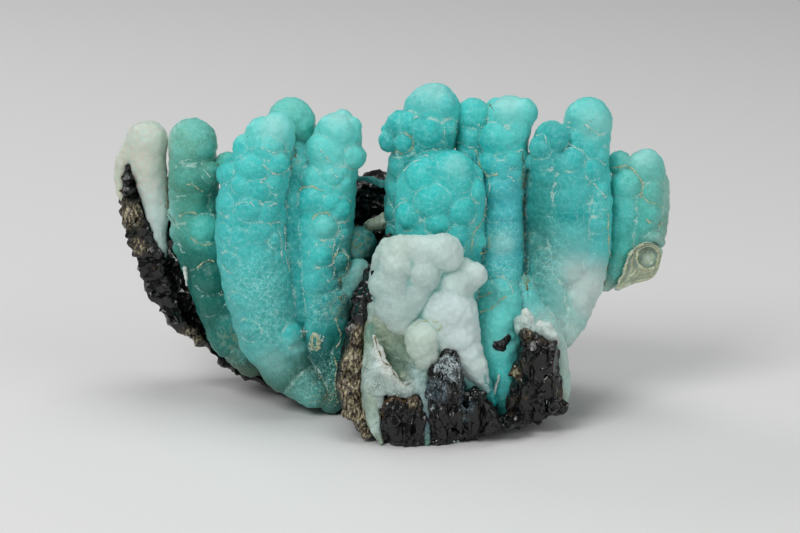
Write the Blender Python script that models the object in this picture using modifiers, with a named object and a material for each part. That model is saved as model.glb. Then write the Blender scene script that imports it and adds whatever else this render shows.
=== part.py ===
# Chrysocolla on quartz: two sheaves of lumpy stalactite fingers and a milky quartz growth on a
# broken piece of black host rock. Metres, +Z up, the front of the specimen faces -Y.
import math
import random

import bmesh
import bpy
from mathutils import Euler, Vector, noise

MM = 0.001

# The specimen is drawn as a front elevation, in millimetres: u runs to the right of the middle,
# h up from the lowest point of the front edge, and y is the real depth, away from the viewer.
# The elevation is seen from EYE_DISTANCE away and EYE_LIFT above the level, in the line of sight
# through AIM, which stands at AIM_U, AIM_H in it.
EYE_DISTANCE = 513.0
EYE_LIFT = math.radians(15.0)
AIM = Vector((1.4, 0.0, 24.7))
AIM_U, AIM_H = 1.4, 28.5

# Moves the middle of the specimen's footprint box onto the origin.
STAND_SHIFT = Vector((-0.155, -6.77, 0.0))

GAP = 0.35  # clearance left between pieces that grew against each other
ROOM_SLACK = 0.2  # what a cutter loses where its faces are made fewer
WELD = 0.01  # points of a tube nearer than this are joined
FINGER_VOXEL = 0.65
ROCK_VOXEL = 0.8
TRIANGLES = {"left_fingers": 2200, "right_fingers": 2400, "front_quartz": 1000, "host_rock": 1500}

# Each finger is a run of (u, h, y, radius) stations from its tip down.
LEFT_FINGERS = {
    "pale_end": [
        (-37.5, 47.7, 13, 2.9), (-37.2, 43.8, 13, 2.8), (-36.7, 38.8, 12.5, 2.1),
        (-35.7, 33.4, 12.5, 1.6), (-34.5, 29.8, 13.2, 1.2),
    ],
    "sea_green": [
        (-30.6, 47.7, 12, 3.5), (-30.6, 42.6, 12, 3.4), (-30.2, 37.2, 12, 3.9),
        (-28.6, 31.1, 11, 4.2), (-26.6, 24.9, 11, 4.1), (-24.3, 18.0, 10, 3.6),
        (-21.9, 13.8, 9, 1.9),
    ],
    "great_front": [
        (-18.3, 48.3, 5.5, 3.4), (-19.8, 44.2, 5, 4.4), (-21.4, 38.8, 5, 5.2),
        (-21.5, 33.4, 5, 5.4), (-20.9, 28.8, 5, 5.5), (-19.7, 23.4, 5, 5.4),
        (-18.3, 18.0, 5, 5.1), (-15.8, 12.8, 4.5, 4.5), (-12.2, 8.6, 2.5, 2.8),
    ],
    "hidden_rear": [
        (-15.3, 50.9, 11, 3.5), (-14.8, 46.5, 11, 3.3), (-14.5, 40.3, 11, 3.1),
        (-14.3, 32.6, 11, 2.8),
    ],
    "twin_right": [
        (-8.1, 48.6, 8, 3.6), (-9.4, 44.2, 8, 4.2), (-10.2, 38.8, 7.5, 4.6),
        (-10.6, 33.4, 7, 4.5), (-10.9, 28.0, 6.5, 4.2), (-10.6, 21.8, 6, 4.0),
        (-10.2, 15.7, 5.5, 3.7), (-9.7, 10.6, 5, 2.8),
    ],
    "curtain": [
        (-8.6, 23.4, 4, 2.2), (-8.3, 17.2, 4, 2.0), (-8.2, 11.1, 3.5, 1.7), (-8.6, 7.9, 3, 1.4),
    ],
    "rear_mass": [(-30, 33, 15, 3.5), (-22, 30, 14, 6.0), (-13, 26, 13, 5.0), (-8, 20, 11, 4.0)],
    "between": [
        (-14.6, 45.0, 7.5, 2.8), (-15.2, 38.0, 7.5, 3.4), (-15.2, 30.0, 7, 3.6),
        (-14.6, 22.0, 6, 3.6),
    ],
}
# Round lobes that stand out of the fingers, as (u, h, y, radius).
LEFT_LOBES = [
    (-39.4, 44.6, 13, 2.2), (-40.8, 43.6, 13, 1.8), (-41.3, 41.4, 13, 1.3), (-27.7, 42.3, 9.5, 2.0),
    (-28.6, 33.4, 8.8, 3.0), (-27.1, 26.5, 8.0, 3.8), (-32.3, 31.6, 9.5, 1.9),
    (-25.2, 19.5, 7.6, 3.0), (-23.2, 14.4, 7.0, 2.2), (-25.1, 44.4, 10.5, 1.8),
    (-17.2, 49.6, 4.0, 2.6), (-19.8, 48.9, 3.6, 2.5), (-21.8, 46.9, 3.6, 2.2),
    (-24.4, 42.3, 5.5, 1.9), (-17.2, 44.3, 2.8, 2.2), (-16.9, 40.6, 3.0, 2.0),
    (-23.2, 40.3, 2.6, 2.6), (-25.2, 36.5, 2.8, 2.1), (-21.8, 18.5, 1.6, 2.0),
    (-15.1, 17.8, 1.2, 2.4), (-5.6, 45.4, 7.5, 2.1), (-11.8, 45.6, 4.6, 3.1),
    (-12.7, 39.4, 4.6, 3.4), (-8.3, 39.9, 4.4, 2.3), (-7.3, 37.3, 4.2, 1.8),
    (-10.0, 34.6, 3.8, 2.4), (-10.6, 30.2, 3.6, 2.0), (-4.5, 31.8, 8.5, 2.9),
    (-5.1, 27.9, 5.5, 2.3), (-7.8, 29.4, 4.5, 1.8),
]
RIGHT_FINGERS = {
    "tall_crown": [
        (6.4, 52.5, 8, 4.1), (5.2, 48.0, 8, 4.5), (4.4, 42.6, 8, 5.0), (3.9, 36.5, 8, 4.8),
        (4.2, 30.3, 8, 4.4), (5.2, 24.9, 8, 4.0),
    ],
    "great_dome": [(7.6, 39.8, 4, 6.9), (7.6, 34.0, 4, 6.8), (8.0, 28.0, 4, 6.0), (10.0, 20.0, 3, 4.5)],
    "small_crown": [(12.6, 51.8, 9, 2.6), (12.9, 48.0, 9, 2.9), (13.7, 41.8, 8, 3.2)],
    "blue_column": [
        (18.3, 51.4, 8, 3.4), (17.5, 46.5, 7, 3.4), (17.1, 41.1, 6.5, 3.4), (16.8, 35.7, 6, 3.5),
        (16.7, 29.5, 5.5, 3.7), (16.7, 23.4, 5, 3.7), (16.8, 17.0, 2, 3.4),
    ],
    "broad_left": [
        (24.9, 48.0, 6, 2.8), (24.5, 41.8, 6.5, 3.6), (24.5, 35.7, 6.5, 3.7), (24.5, 29.5, 6, 3.4),
        (24.8, 23.4, 4, 2.9), (26.0, 18.8, 2, 2.0),
    ],
    "broad_right": [
        (30.3, 50.7, 9, 3.5), (29.4, 44.2, 8, 4.1), (29.7, 38.0, 7.5, 4.2), (29.8, 31.8, 7, 4.0),
        (29.1, 25.7, 5.5, 3.4), (27.7, 20.3, 3, 2.3), (26.8, 17.2, 1, 1.3),
    ],
    "broad_middle": [(27.1, 44.5, 7, 4.4), (27.1, 37.0, 6.5, 4.7), (27.1, 29.0, 6, 4.4)],
    "green_end": [
        (38.7, 43.4, 12, 3.4), (38.7, 38.8, 12, 3.4), (38.0, 33.4, 11.5, 3.1),
        (36.5, 29.2, 11, 2.2), (34.5, 26.2, 10, 1.3),
    ],
    "green_front": [(36.0, 41.1, 9.5, 2.6), (36.0, 36.5, 9.2, 2.6), (35.6, 31.1, 9, 2.3)],
    "broken_rim": [(41.5, 42.4, 12, 1.0), (42.1, 38.0, 12, 0.9), (41.8, 33.4, 11.5, 0.9)],
    "hollow_end": [
        (35.2, 26.6, 8.5, 1.2), (37.5, 28.4, 8.5, 1.9), (39.8, 31.1, 8.5, 2.2),
        (41.0, 33.0, 8.5, 1.4),
    ],
    "low_wedge": [
        (16.8, 20.8, -0.5, 3.4), (16.8, 16.5, -3, 3.1), (16.8, 11.8, -5, 2.5), (16.8, 8.0, -6, 1.7),
        (16.8, 5.4, -7, 1.0),
    ],
    "edge_crust": [
        (24.2, 18.8, -2, 1.6), (25.7, 15.7, -3, 1.5), (26.4, 11.8, -3, 1.3), (26.6, 8.6, -3, 1.1),
    ],
    "low_bridge": [(19.6, 24.0, 3, 2.6), (21.8, 20.4, 0.5, 2.4), (24.0, 17.4, -1, 2.0)],
    "rear_mass": [(8, 30, 14, 5.0), (18, 30, 12, 4.5), (27, 32, 12, 4.5), (34, 36, 13, 3.0)],
}
RIGHT_LOBES = [
    (5.8, 49.8, 4.8, 2.2), (1.9, 50.2, 7, 2.2), (-0.2, 47.8, 7, 1.7), (2.0, 47.6, 4.6, 1.4),
    (4.7, 43.4, -0.3, 2.8), (10.2, 44.4, 0.2, 3.4), (10.9, 42.0, -2.0, 1.8),
    (7.2, 38.8, -1.2, 2.7), (2.8, 36.4, 0.0, 2.9), (11.2, 36.9, -0.4, 2.3),
    (7.3, 35.8, -1.6, 2.7), (16.2, 53.0, 11, 1.5), (15.3, 49.4, 5, 2.6), (15.3, 47.1, 4.6, 2.3),
    (14.0, 44.6, 3.8, 2.2), (20.4, 47.1, 6, 1.9), (13.8, 32.5, 2.8, 1.4), (22.6, 47.6, 4.4, 2.1),
    (22.6, 45.6, 4.3, 2.1), (25.4, 49.6, 5.4, 2.5), (28.9, 48.8, 5.6, 2.8), (34.9, 44.2, 11, 2.4),
    (40.0, 36.9, 9.4, 1.8), (22.0, 21.6, 0.5, 1.3),
]
QUARTZ_FINGERS = {
    "left_half": [(3.2, 29.5, -6, 2.8), (1.9, 25.0, -6.5, 4.2), (1.1, 21.6, -7.0, 3.3)],
    "right_half": [
        (6.9, 30.6, -5.5, 3.6), (9.6, 24.0, -6.5, 4.3), (10.2, 18.8, -7, 4.5),
        (11.4, 14.9, -8, 3.1), (13.2, 12.8, -8.5, 1.7),
    ],
    "bridge": [(2.5, 26.0, -4, 4.0), (9.0, 24.0, -4, 4.5)],
    "middle": [(5.0, 24.0, -6, 3.8), (5.6, 19.6, -7.4, 3.6), (8.0, 15.4, -8.6, 3.0)],
    "conchoidal_foot": [
        (-0.4, 18.5, -7, 2.8), (-0.4, 15.5, -8, 2.4), (-0.9, 11.8, -9, 2.1), (-1.7, 7.2, -11, 1.6),
        (-2.0, 3.8, -13, 1.2),
    ],
    "drusy_foot": [(5.1, 16.6, -9, 2.9), (2.9, 13.4, -9, 2.6), (1.2, 10.0, -10.5, 2.3)],
    "pale_band": [(-2.6, 11.8, -9.5, 1.4), (-2.8, 7.6, -11.2, 1.4), (-2.5, 3.8, -13, 1.1)],
    "white_seam": [(0.2, 14.0, -9, 2.6), (-0.2, 9.6, -10.8, 2.4), (-1.0, 5.6, -12.6, 1.6)],
}
QUARTZ_LOBES = [
    (1.1, 31.4, -6, 2.4), (6.9, 31.8, -6.5, 2.8), (9.4, 30.8, -6.8, 2.0), (3.7, 29.2, -7.2, 2.8),
    (4.9, 27.1, -9.0, 2.4), (12.2, 27.0, -7.8, 2.5), (5.1, 16.8, -10.2, 2.8),
    (7.6, 15.0, -10.6, 2.2),
]
# Small nodules strewn over the fingers by a rule: their number to each 10 mm, and radii.
NODULES_TO_10_MM = 9
NODULE_RADII = (0.8, 1.5)
NODULE_OUT = 0.72  # how far out of the finger's axis a nodule's middle stands, as a share
BARE_RADIUS = 2.0  # a finger thinner than this bears no nodules

# The host rock. The shell's outer edge at the left, as (u, h) at its front, from its top down.
SHELL_EDGE = [
    (-40.6, 43.2), (-41.6, 38.8), (-41.5, 35.4), (-40.7, 32.4), (-39.2, 28.8), (-37.2, 23.6),
    (-33.9, 18.9), (-28.8, 15.6), (-23.4, 11.4), (-18.6, 9.4), (-13.0, 8.6),
]
SHELL_THICK, SHELL_DEPTH, SHELL_FRONT_Y = 4.2, 12.5, 11.5
SHELL_OVERLAP = 1.6  # how much longer each slab is than its stretch of the edge
# The fin between the left sheaf and the quartz: (u, h, front y, half width).
CENTRE_FIN = [
    (-0.9, 29.4, -4, 0.5), (-2.4, 26.5, -4, 1.3), (-3.8, 23.4, -5, 1.5), (-4.8, 20.3, -6, 1.5),
    (-5.4, 16.5, -6, 1.6), (-6.0, 12.6, -7, 2.0), (-6.1, 8.6, -8, 2.1), (-5.2, 6.2, -10, 1.9),
    (-3.8, 3.6, -12.5, 1.5),
]
FIN_DEPTH, FIN_OVERLAP = 11.0, 1.5
# Crags at the front, with their outline (u, h) in the elevation, the depth of their front edge,
# how deep they are and how far their face bulges.
FRONT_CRAGS = [
    ([(-1.1, 7.2), (0.2, 8.3), (2.9, 8.0), (4.8, 6.5), (5.1, 1.6), (1.4, 0.1), (-1.4, 1.4)],
     -13.6, 6, 1.6),
    ([(5.2, 8.0), (6.2, 10.3), (8.3, 14.4), (10.6, 12.3), (12.8, 9.6), (12.2, 1.9), (5.6, 0.6)],
     -12.2, 6, 1.8),
    ([(11.0, 10.5), (13.7, 8.8), (16.5, 4.2), (14.0, 2.4), (9.0, 1.2)], -10.8, 6, 1.2),
    ([(21.1, 19.0), (22.9, 18.0), (24.9, 16.5), (25.5, 11.0), (26.3, 6.8), (21.4, 4.4), (17.8, 3.7),
      (17.5, 8.0), (19.4, 13.4)], -6.6, 6, 1.8),
]
# Crags of the base and of the back wall, with their outline (x, z), front y, depth and bulge.
BASE_CRAGS = [
    ([(-4.5, 3.0), (-1.0, -1.0), (9.5, -1.0), (16.5, 1.8), (17.5, 7.0), (-5.0, 9.0)], -11.5, 16, 1.5),
    ([(12.0, 1.0), (25.6, 4.4), (25.0, 9.0), (12.0, 11.0)], -4.5, 12, 1.0),
    ([(-7.0, 4.0), (-4.0, -1.0), (18.0, -1.0), (22.0, 8.0), (18.0, 20.0), (-6.0, 20.0)], 0.0, 17, 1.0),
    ([(9.0, -1.0), (21.5, -1.0), (23.0, 12.0), (9.0, 12.0)], 7.5, 15, 1.0),
    ([(-15.0, -1.0), (-4.0, -1.0), (-4.0, 10.0), (-17.0, 7.0)], 13.5, 10, 1.0),
]
WALL_CRAGS = [
    ([(-42, 36), (-42, 27), (-36.5, 15.5), (-28, 10), (-25, 24), (-29, 31)], 14.0, 8.0, 1.0),
    ([(-31, 30), (-31, 14), (-24, 7), (-16, 4), (-13, 30), (-20, 32)], 15.0, 8.5, 1.6),
    ([(-20, 30), (-20, 6), (-13, 0), (-6, 0), (-5, 34), (-11, 34)], 15.0, 9.5, 1.0),
    ([(-8, 33), (-8, 0), (4, 0), (4, 34), (-1, 34.6)], 14.5, 10.0, 1.5),
    ([(1, 33), (1, 0), (13, 0), (14, 34), (7, 35.5)], 14.0, 12.0, 1.4),
    ([(11, 33), (11, 0), (21, 0), (24, 10), (27, 22), (26, 34), (18, 35)], 14.0, 10.0, 1.2),
    ([(22, 32), (22, 16), (26, 19), (31, 31)], 13.5, 8.0, 1.0),
]
CRAG_FACE = 0.62  # the size of a crag's bulging face, as a share of its outline
ROUGHNESS = ((0.14, 3.0), (0.34, 1.4))  # bumps of the rock: waves to a millimetre, and height
ROUGH_LEVEL = 0.35  # the share of a bump's height that is cut in, so that the rest stands out
FLOOR_BLOCK = ((0, 0, -20), (200, 200, 40))  # middle and size of what is cut off below

COLORS = {
    "left_fingers": (0.16, 0.62, 0.60, 1.0),
    "right_fingers": (0.12, 0.60, 0.62, 1.0),
    "front_quartz": (0.62, 0.78, 0.74, 1.0),
    "host_rock": (0.035, 0.030, 0.027, 1.0),
}


def on_elevation(u, h, y):
    """The point at depth y that stands at u, h in the front elevation, and the scale there."""
    right, up = u - AIM_U, h - AIM_H
    lift, level = math.sin(EYE_LIFT), math.cos(EYE_LIFT)
    beyond = (y - up * lift) / (level + up * lift / EYE_DISTANCE)
    scale = 1.0 + beyond / EYE_DISTANCE
    return Vector((AIM.x + scale * right, y, AIM.z + scale * up * level - beyond * lift)), scale


def station(values):
    place, scale = on_elevation(*values[:3])
    return place, values[3] * scale


def new_object(name, mesh, collection):
    thing = bpy.data.objects.new(name, mesh)
    collection.objects.link(thing)
    return thing


def baked(thing):
    """Puts the evaluated mesh in place of the object's own and removes the modifiers."""
    bpy.context.view_layer.update()
    graph = bpy.context.evaluated_depsgraph_get()
    mesh = bpy.data.meshes.new_from_object(thing.evaluated_get(graph))
    thing.modifiers.clear()
    thing.data = mesh
    return thing


def add_ball(shape, place, radius):
    made = bmesh.ops.create_icosphere(shape, subdivisions=3, radius=radius * MM)
    bmesh.ops.translate(shape, verts=made["verts"], vec=place * MM)


def add_tube(shape, stations, collection):
    """A tapered tube through the stations, added to the bmesh shape."""
    curve = bpy.data.curves.new("finger_core", "CURVE")
    curve.dimensions = "3D"
    curve.bevel_depth = MM
    curve.bevel_resolution = 6
    curve.use_fill_caps = True
    spline = curve.splines.new("POLY")
    spline.points.add(len(stations) - 1)
    for point, (place, radius) in zip(spline.points, stations):
        point.co = (*(place * MM), 1.0)
        point.radius = radius
    core = new_object("finger_core", curve, collection)
    bpy.context.view_layer.update()
    mesh = bpy.data.meshes.new_from_object(core.evaluated_get(bpy.context.evaluated_depsgraph_get()))
    tube = bmesh.new()
    tube.from_mesh(mesh)
    bmesh.ops.remove_doubles(tube, verts=tube.verts, dist=WELD * MM)
    welded = bpy.data.meshes.new("finger_core")
    tube.to_mesh(welded)
    tube.free()
    shape.from_mesh(welded)
    bpy.data.objects.remove(core)


def add_nodules(shape, stations, seed):
    rule = random.Random(seed)
    for (start, wide), (end, narrow) in zip(stations, stations[1:]):
        along = end - start
        side = along.orthogonal().normalized()
        across = along.cross(side).normalized()
        for _ in range(round(along.length / 10 * NODULES_TO_10_MM)):
            t, turn = rule.random(), rule.uniform(0, math.tau)
            size = rule.uniform(*NODULE_RADII)
            finger_radius = wide + (narrow - wide) * t
            if finger_radius < BARE_RADIUS:
                continue
            out = side * math.cos(turn) + across * math.sin(turn)
            add_ball(shape, start + along * t + out * finger_radius * NODULE_OUT, size)


def growth(name, fingers, lobes, collection):
    """Fingers, lobes and nodules grown together in one solid."""
    shape = bmesh.new()
    for seed, stations in enumerate(fingers.values()):
        placed = [station(values) for values in stations]
        add_tube(shape, placed, collection)
        for place, radius in placed:
            add_ball(shape, place, radius)
        if name != "front_quartz":
            add_nodules(shape, placed, seed)
    for values in lobes:
        add_ball(shape, *station(values))
    mesh = bpy.data.meshes.new(name)
    shape.to_mesh(mesh)
    shape.free()
    thing = new_object(name, mesh, collection)
    remeshed(thing, FINGER_VOXEL)
    smooth = thing.modifiers.new("soften", "SMOOTH")
    smooth.factor = 0.5
    smooth.iterations = 2
    return decimated(baked(thing), TRIANGLES[name])


def remeshed(thing, voxel):
    """Makes one closed skin of everything in the object."""
    remesh = thing.modifiers.new("one_solid", "REMESH")
    remesh.mode = "VOXEL"
    remesh.voxel_size = voxel * MM
    return baked(thing)


def decimated(thing, triangles):
    have = sum(len(face.vertices) - 2 for face in thing.data.polygons)
    fewer = thing.modifiers.new("fewer_faces", "DECIMATE")
    fewer.ratio = min(1.0, triangles / have)
    return baked(thing)


def add_block(shape, middle, size, turn):
    made = bmesh.ops.create_cube(shape, size=1.0)["verts"]
    bmesh.ops.scale(shape, verts=made, vec=Vector(size) * MM)
    rotation = Euler([math.radians(angle) for angle in turn]).to_matrix()
    bmesh.ops.rotate(shape, verts=made, matrix=rotation)
    bmesh.ops.translate(shape, verts=made, vec=Vector(middle) * MM)


def add_crag(shape, outline, depth, bulge):
    """A faceted lump: the hull round an outline, the same outline further back, and smaller faces."""
    middle = sum(outline, Vector()) / len(outline)
    back = Vector((0, depth, 0))
    hull = [point for rim in outline for point in (rim, rim + back)]
    for rim in outline:
        inner = middle.lerp(rim, CRAG_FACE)
        hull += [inner - Vector((0, bulge, 0)), inner + back + Vector((0, bulge, 0))]
    verts = [shape.verts.new(point * MM) for point in hull]
    made = bmesh.ops.convex_hull(shape, input=verts)
    loose = {item for item in made["geom_interior"] if isinstance(item, bmesh.types.BMVert)}
    bmesh.ops.delete(shape, geom=list(loose), context="VERTS")


def add_shell(shape):
    """The curved shell under the left sheaf, a row of slabs along its outer edge."""
    edge = [on_elevation(u, h, SHELL_FRONT_Y)[0] for u, h in SHELL_EDGE]
    for upper, lower in zip(edge, edge[1:]):
        along = lower - upper
        inward = Vector((-along.z, 0, along.x)).normalized() * SHELL_THICK / 2
        middle = (upper + lower) / 2 + inward + Vector((0, SHELL_DEPTH / 2, 0))
        pitch = -math.degrees(math.atan2(along.z, along.x))
        add_block(shape, middle, (along.length + SHELL_OVERLAP, SHELL_DEPTH, SHELL_THICK), (0, pitch, 0))


def add_fin(shape):
    for upper, lower in zip(CENTRE_FIN, CENTRE_FIN[1:]):
        (top, _), (foot, _) = on_elevation(*upper[:3]), on_elevation(*lower[:3])
        along = foot - top
        middle = (top + foot) / 2 + Vector((0, FIN_DEPTH / 2, 0))
        wide = upper[3] + lower[3]
        pitch = -math.degrees(math.atan2(along.z, along.x))
        add_block(shape, middle, (along.length + FIN_OVERLAP, FIN_DEPTH, wide), (0, pitch, 0))


def roughen(mesh):
    """Pushes the rock's points in and out by two sizes of noise, the coarse one in flat steps."""
    moves = []
    for vertex in mesh.vertices:
        at = vertex.co / MM
        push = 0.0
        for waves, height in ROUGHNESS:
            cells = noise.voronoi(at * waves)[0]
            push += (cells[1] - cells[0] - ROUGH_LEVEL) * height
        moves.append(vertex.normal * push * MM)
    for vertex, move in zip(mesh.vertices, moves):
        vertex.co += move


def rock(collection):
    shape = bmesh.new()
    add_shell(shape)
    add_fin(shape)
    for outline, front, depth, bulge in FRONT_CRAGS:
        add_crag(shape, [on_elevation(u, h, front)[0] for u, h in outline], depth, bulge)
    for outline, front, depth, bulge in BASE_CRAGS + WALL_CRAGS:
        add_crag(shape, [Vector((x, front, z)) for x, z in outline], depth, bulge)
    mesh = bpy.data.meshes.new("host_rock")
    shape.to_mesh(mesh)
    shape.free()
    thing = new_object("host_rock", mesh, collection)
    remeshed(thing, ROCK_VOXEL)
    smooth = thing.modifiers.new("soften", "SMOOTH")
    smooth.iterations = 3
    baked(thing)
    roughen(thing.data)
    return decimated(remeshed(thing, ROCK_VOXEL), TRIANGLES["host_rock"])


def cut_by(thing, cutter):
    cut = thing.modifiers.new("grown_round", "BOOLEAN")
    cut.operation = "DIFFERENCE"
    cut.solver = "EXACT"
    cut.object = cutter
    return baked(thing)


def swollen(thing, cutters):
    """A copy of the object, larger all round by the gap, for cutting its neighbours."""
    copy = new_object(thing.name + "_room", thing.data.copy(), cutters)
    copy.display_type = "WIRE"
    copy.hide_render = True
    swell = copy.modifiers.new("gap", "DISPLACE")
    swell.strength = (GAP + ROOM_SLACK) * MM
    swell.mid_level = 0.0
    return decimated(remeshed(baked(copy), FINGER_VOXEL), TRIANGLES[thing.name])


def floor_box(cutters):
    shape = bmesh.new()
    add_block(shape, *FLOOR_BLOCK, (0, 0, 0))
    mesh = bpy.data.meshes.new("floor_cut")
    shape.to_mesh(mesh)
    shape.free()
    box = new_object("floor_cut", mesh, cutters)
    box.display_type = "WIRE"
    box.hide_render = True
    return box


def keep_largest(thing):
    """Drops the chips that a cut leaves loose."""
    shape = bmesh.new()
    shape.from_mesh(thing.data)
    left, groups = set(shape.verts), []
    while left:
        group, todo = set(), [left.pop()]
        while todo:
            vertex = todo.pop()
            group.add(vertex)
            near = {edge.other_vert(vertex) for edge in vertex.link_edges} & left
            left -= near
            todo.extend(near)
        groups.append(group)
    groups.sort(key=len)
    for group in groups[:-1]:
        bmesh.ops.delete(shape, geom=list(group), context="VERTS")
    shape.to_mesh(thing.data)
    shape.free()


def finish(thing):
    material = bpy.data.materials.new(thing.name + "_finish")
    material.use_nodes = True
    shader = material.node_tree.nodes["Principled BSDF"]
    shader.inputs["Base Color"].default_value = COLORS[thing.name]
    shader.inputs["Roughness"].default_value = 0.35
    shader.inputs["Metallic"].default_value = 0.0
    thing.data.materials.clear()
    thing.data.materials.append(material)
    if thing.name != "host_rock":
        thing.data.shade_smooth()
        thing.data.set_sharp_from_angle(angle=math.radians(50))
    thing.data.transform(thing.matrix_world)
    thing.location = STAND_SHIFT * MM


def clear_scene():
    for thing in list(bpy.data.objects):
        bpy.data.objects.remove(thing, do_unlink=True)


def main():
    clear_scene()
    parts = bpy.data.collections.new("chrysocolla_on_quartz")
    cutters = bpy.data.collections.new("cutters")
    bpy.context.scene.collection.children.link(parts)
    bpy.context.scene.collection.children.link(cutters)
    left = growth("left_fingers", LEFT_FINGERS, LEFT_LOBES, parts)
    right = growth("right_fingers", RIGHT_FINGERS, RIGHT_LOBES, parts)
    quartz = growth("front_quartz", QUARTZ_FINGERS, QUARTZ_LOBES, parts)
    base = rock(parts)
    cut_by(right, swollen(quartz, cutters))
    keep_largest(right)
    for neighbour in (left, right, quartz):
        cut_by(base, swollen(neighbour, cutters))
    cut_by(base, floor_box(cutters))
    keep_largest(base)
    for thing in (left, right, quartz, base):
        finish(thing)


main()
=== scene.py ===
import math
import random

import bmesh
import bpy
import numpy as np
from mathutils import Euler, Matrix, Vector
from mathutils.bvhtree import BVHTree


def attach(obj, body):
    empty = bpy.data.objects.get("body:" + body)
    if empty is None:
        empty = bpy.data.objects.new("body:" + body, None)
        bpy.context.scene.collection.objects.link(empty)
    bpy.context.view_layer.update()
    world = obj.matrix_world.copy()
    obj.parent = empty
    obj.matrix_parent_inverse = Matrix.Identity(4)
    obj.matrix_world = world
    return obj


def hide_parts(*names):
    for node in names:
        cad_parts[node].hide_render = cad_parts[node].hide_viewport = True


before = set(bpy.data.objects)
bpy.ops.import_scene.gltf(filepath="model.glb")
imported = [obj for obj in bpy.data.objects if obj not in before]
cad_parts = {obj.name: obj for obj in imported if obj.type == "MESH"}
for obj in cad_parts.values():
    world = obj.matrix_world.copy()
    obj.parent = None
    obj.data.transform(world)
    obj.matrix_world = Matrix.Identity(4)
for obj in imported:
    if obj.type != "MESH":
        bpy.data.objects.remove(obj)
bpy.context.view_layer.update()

mm = 0.001

# The specimen is laid out on a front elevation, in millimetres: u to the right of its middle,
# h up from its lowest front point, y the real depth away from the viewer.
elevation = {
    "eyeDistance": 513.0,
    "eyeLift": math.radians(15.0),
    "aim": Vector((1.4, 0.0, 24.7)),
    "aimU": 1.4,
    "aimH": 28.5,
    "standShift": Vector((-0.155, -6.77, 0.0)),
}


def onSheet(u, h, y):
    right, up = u - elevation["aimU"], h - elevation["aimH"]
    lift, level = math.sin(elevation["eyeLift"]), math.cos(elevation["eyeLift"])
    beyond = (y - up * lift) / (level + up * lift / elevation["eyeDistance"])
    grow = 1.0 + beyond / elevation["eyeDistance"]
    aim = elevation["aim"]
    place = Vector((aim.x + grow * right, y, aim.z + grow * up * level - beyond * lift))
    return place + elevation["standShift"], grow


# Camera, floor and soft studio lights
studio = {
    "lens": 150.0,
    "floorColor": (0.80, 0.80, 0.79, 1.0),
    "worldColor": (0.82, 0.84, 0.86, 1.0),
    "worldStrength": 0.20,
    "lamps": {  # place and size in metres, power in watts
        "keyLamp": ((-0.30, -0.42, 0.52), 0.34, 2.55),
        "fillLamp": ((0.46, -0.34, 0.30), 0.40, 0.8),
        "topLamp": ((0.02, 0.10, 0.62), 0.36, 1.1),
        "rimLamp": ((-0.36, 0.36, 0.34), 0.22, 0.6),
    },
}


def buildStudio():
    scene = bpy.context.scene
    scene.view_settings.view_transform = "Standard"
    aim = (elevation["aim"] + elevation["standShift"]) * mm
    lift = elevation["eyeLift"]
    away = Vector((0, math.cos(lift), -math.sin(lift)))
    camera = bpy.data.cameras.new("specimenCamera")
    camera.lens = studio["lens"]
    camera.sensor_width = 36.0
    camera.clip_start = 0.01
    holder = bpy.data.objects.new("specimenCamera", camera)
    holder.location = aim - away * elevation["eyeDistance"] * mm
    holder.rotation_euler = (math.pi / 2 - lift, 0, 0)
    scene.collection.objects.link(holder)
    scene.camera = holder
    for name, (place, size, power) in studio["lamps"].items():
        lamp = bpy.data.lights.new(name, "AREA")
        lamp.size = size
        lamp.energy = power
        stand = bpy.data.objects.new(name, lamp)
        stand.location = place
        stand.rotation_euler = (aim - Vector(place)).to_track_quat("-Z", "Y").to_euler()
        scene.collection.objects.link(stand)
    world = bpy.data.worlds.new("paleStudio")
    world.use_nodes = True
    backdrop = world.node_tree.nodes["Background"]
    backdrop.inputs["Color"].default_value = studio["worldColor"]
    backdrop.inputs["Strength"].default_value = studio["worldStrength"]
    scene.world = world
    bpy.ops.mesh.primitive_plane_add(size=6.0, location=(0, 0, 0))
    floor = bpy.context.object
    floor.name = "studioFloor"
    paint = bpy.data.materials.new("floorPaper")
    paint.use_nodes = True
    shader = paint.node_tree.nodes["Principled BSDF"]
    shader.inputs["Base Color"].default_value = studio["floorColor"]
    shader.inputs["Roughness"].default_value = 0.6
    floor.data.materials.append(paint)


buildStudio()
print("studio ready")


# Small helpers for node trees: a value may be a number, a tuple or another node's socket
def put(tree, kind, values=None, **settings):
    node = tree.nodes.new(kind)
    for key, value in settings.items():
        setattr(node, key, value)
    for key, value in (values or {}).items():
        socket = node.inputs[key]
        if isinstance(value, bpy.types.NodeSocket):
            tree.links.new(value, socket)
        else:
            socket.default_value = value
    return node


def calc(tree, operation, first, second=0.0, third=0.0):
    node = put(tree, "ShaderNodeMath", {0: first, 1: second, 2: third}, operation=operation)
    return node.outputs[0]


def spread(tree, value, low, high, toLow=0.0, toHigh=1.0):
    values = {"Value": value, "From Min": low, "From Max": high, "To Min": toLow, "To Max": toHigh}
    return put(tree, "ShaderNodeMapRange", values, interpolation_type="SMOOTHSTEP").outputs[0]


def blendColor(tree, share, under, over, how="MIX"):
    node = put(tree, "ShaderNodeMix", data_type="RGBA", blend_type=how)
    for index, value in ((0, share), (6, under), (7, over)):
        if isinstance(value, bpy.types.NodeSocket):
            tree.links.new(value, node.inputs[index])
        else:
            node.inputs[index].default_value = value
    return node.outputs[2]


def noiseOf(tree, vector, size, detail=2.0, roughness=0.5):
    values = {"Vector": vector, "Scale": 1.0 / (size * mm), "Detail": detail, "Roughness": roughness}
    return put(tree, "ShaderNodeTexNoise", values).outputs[0]


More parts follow.
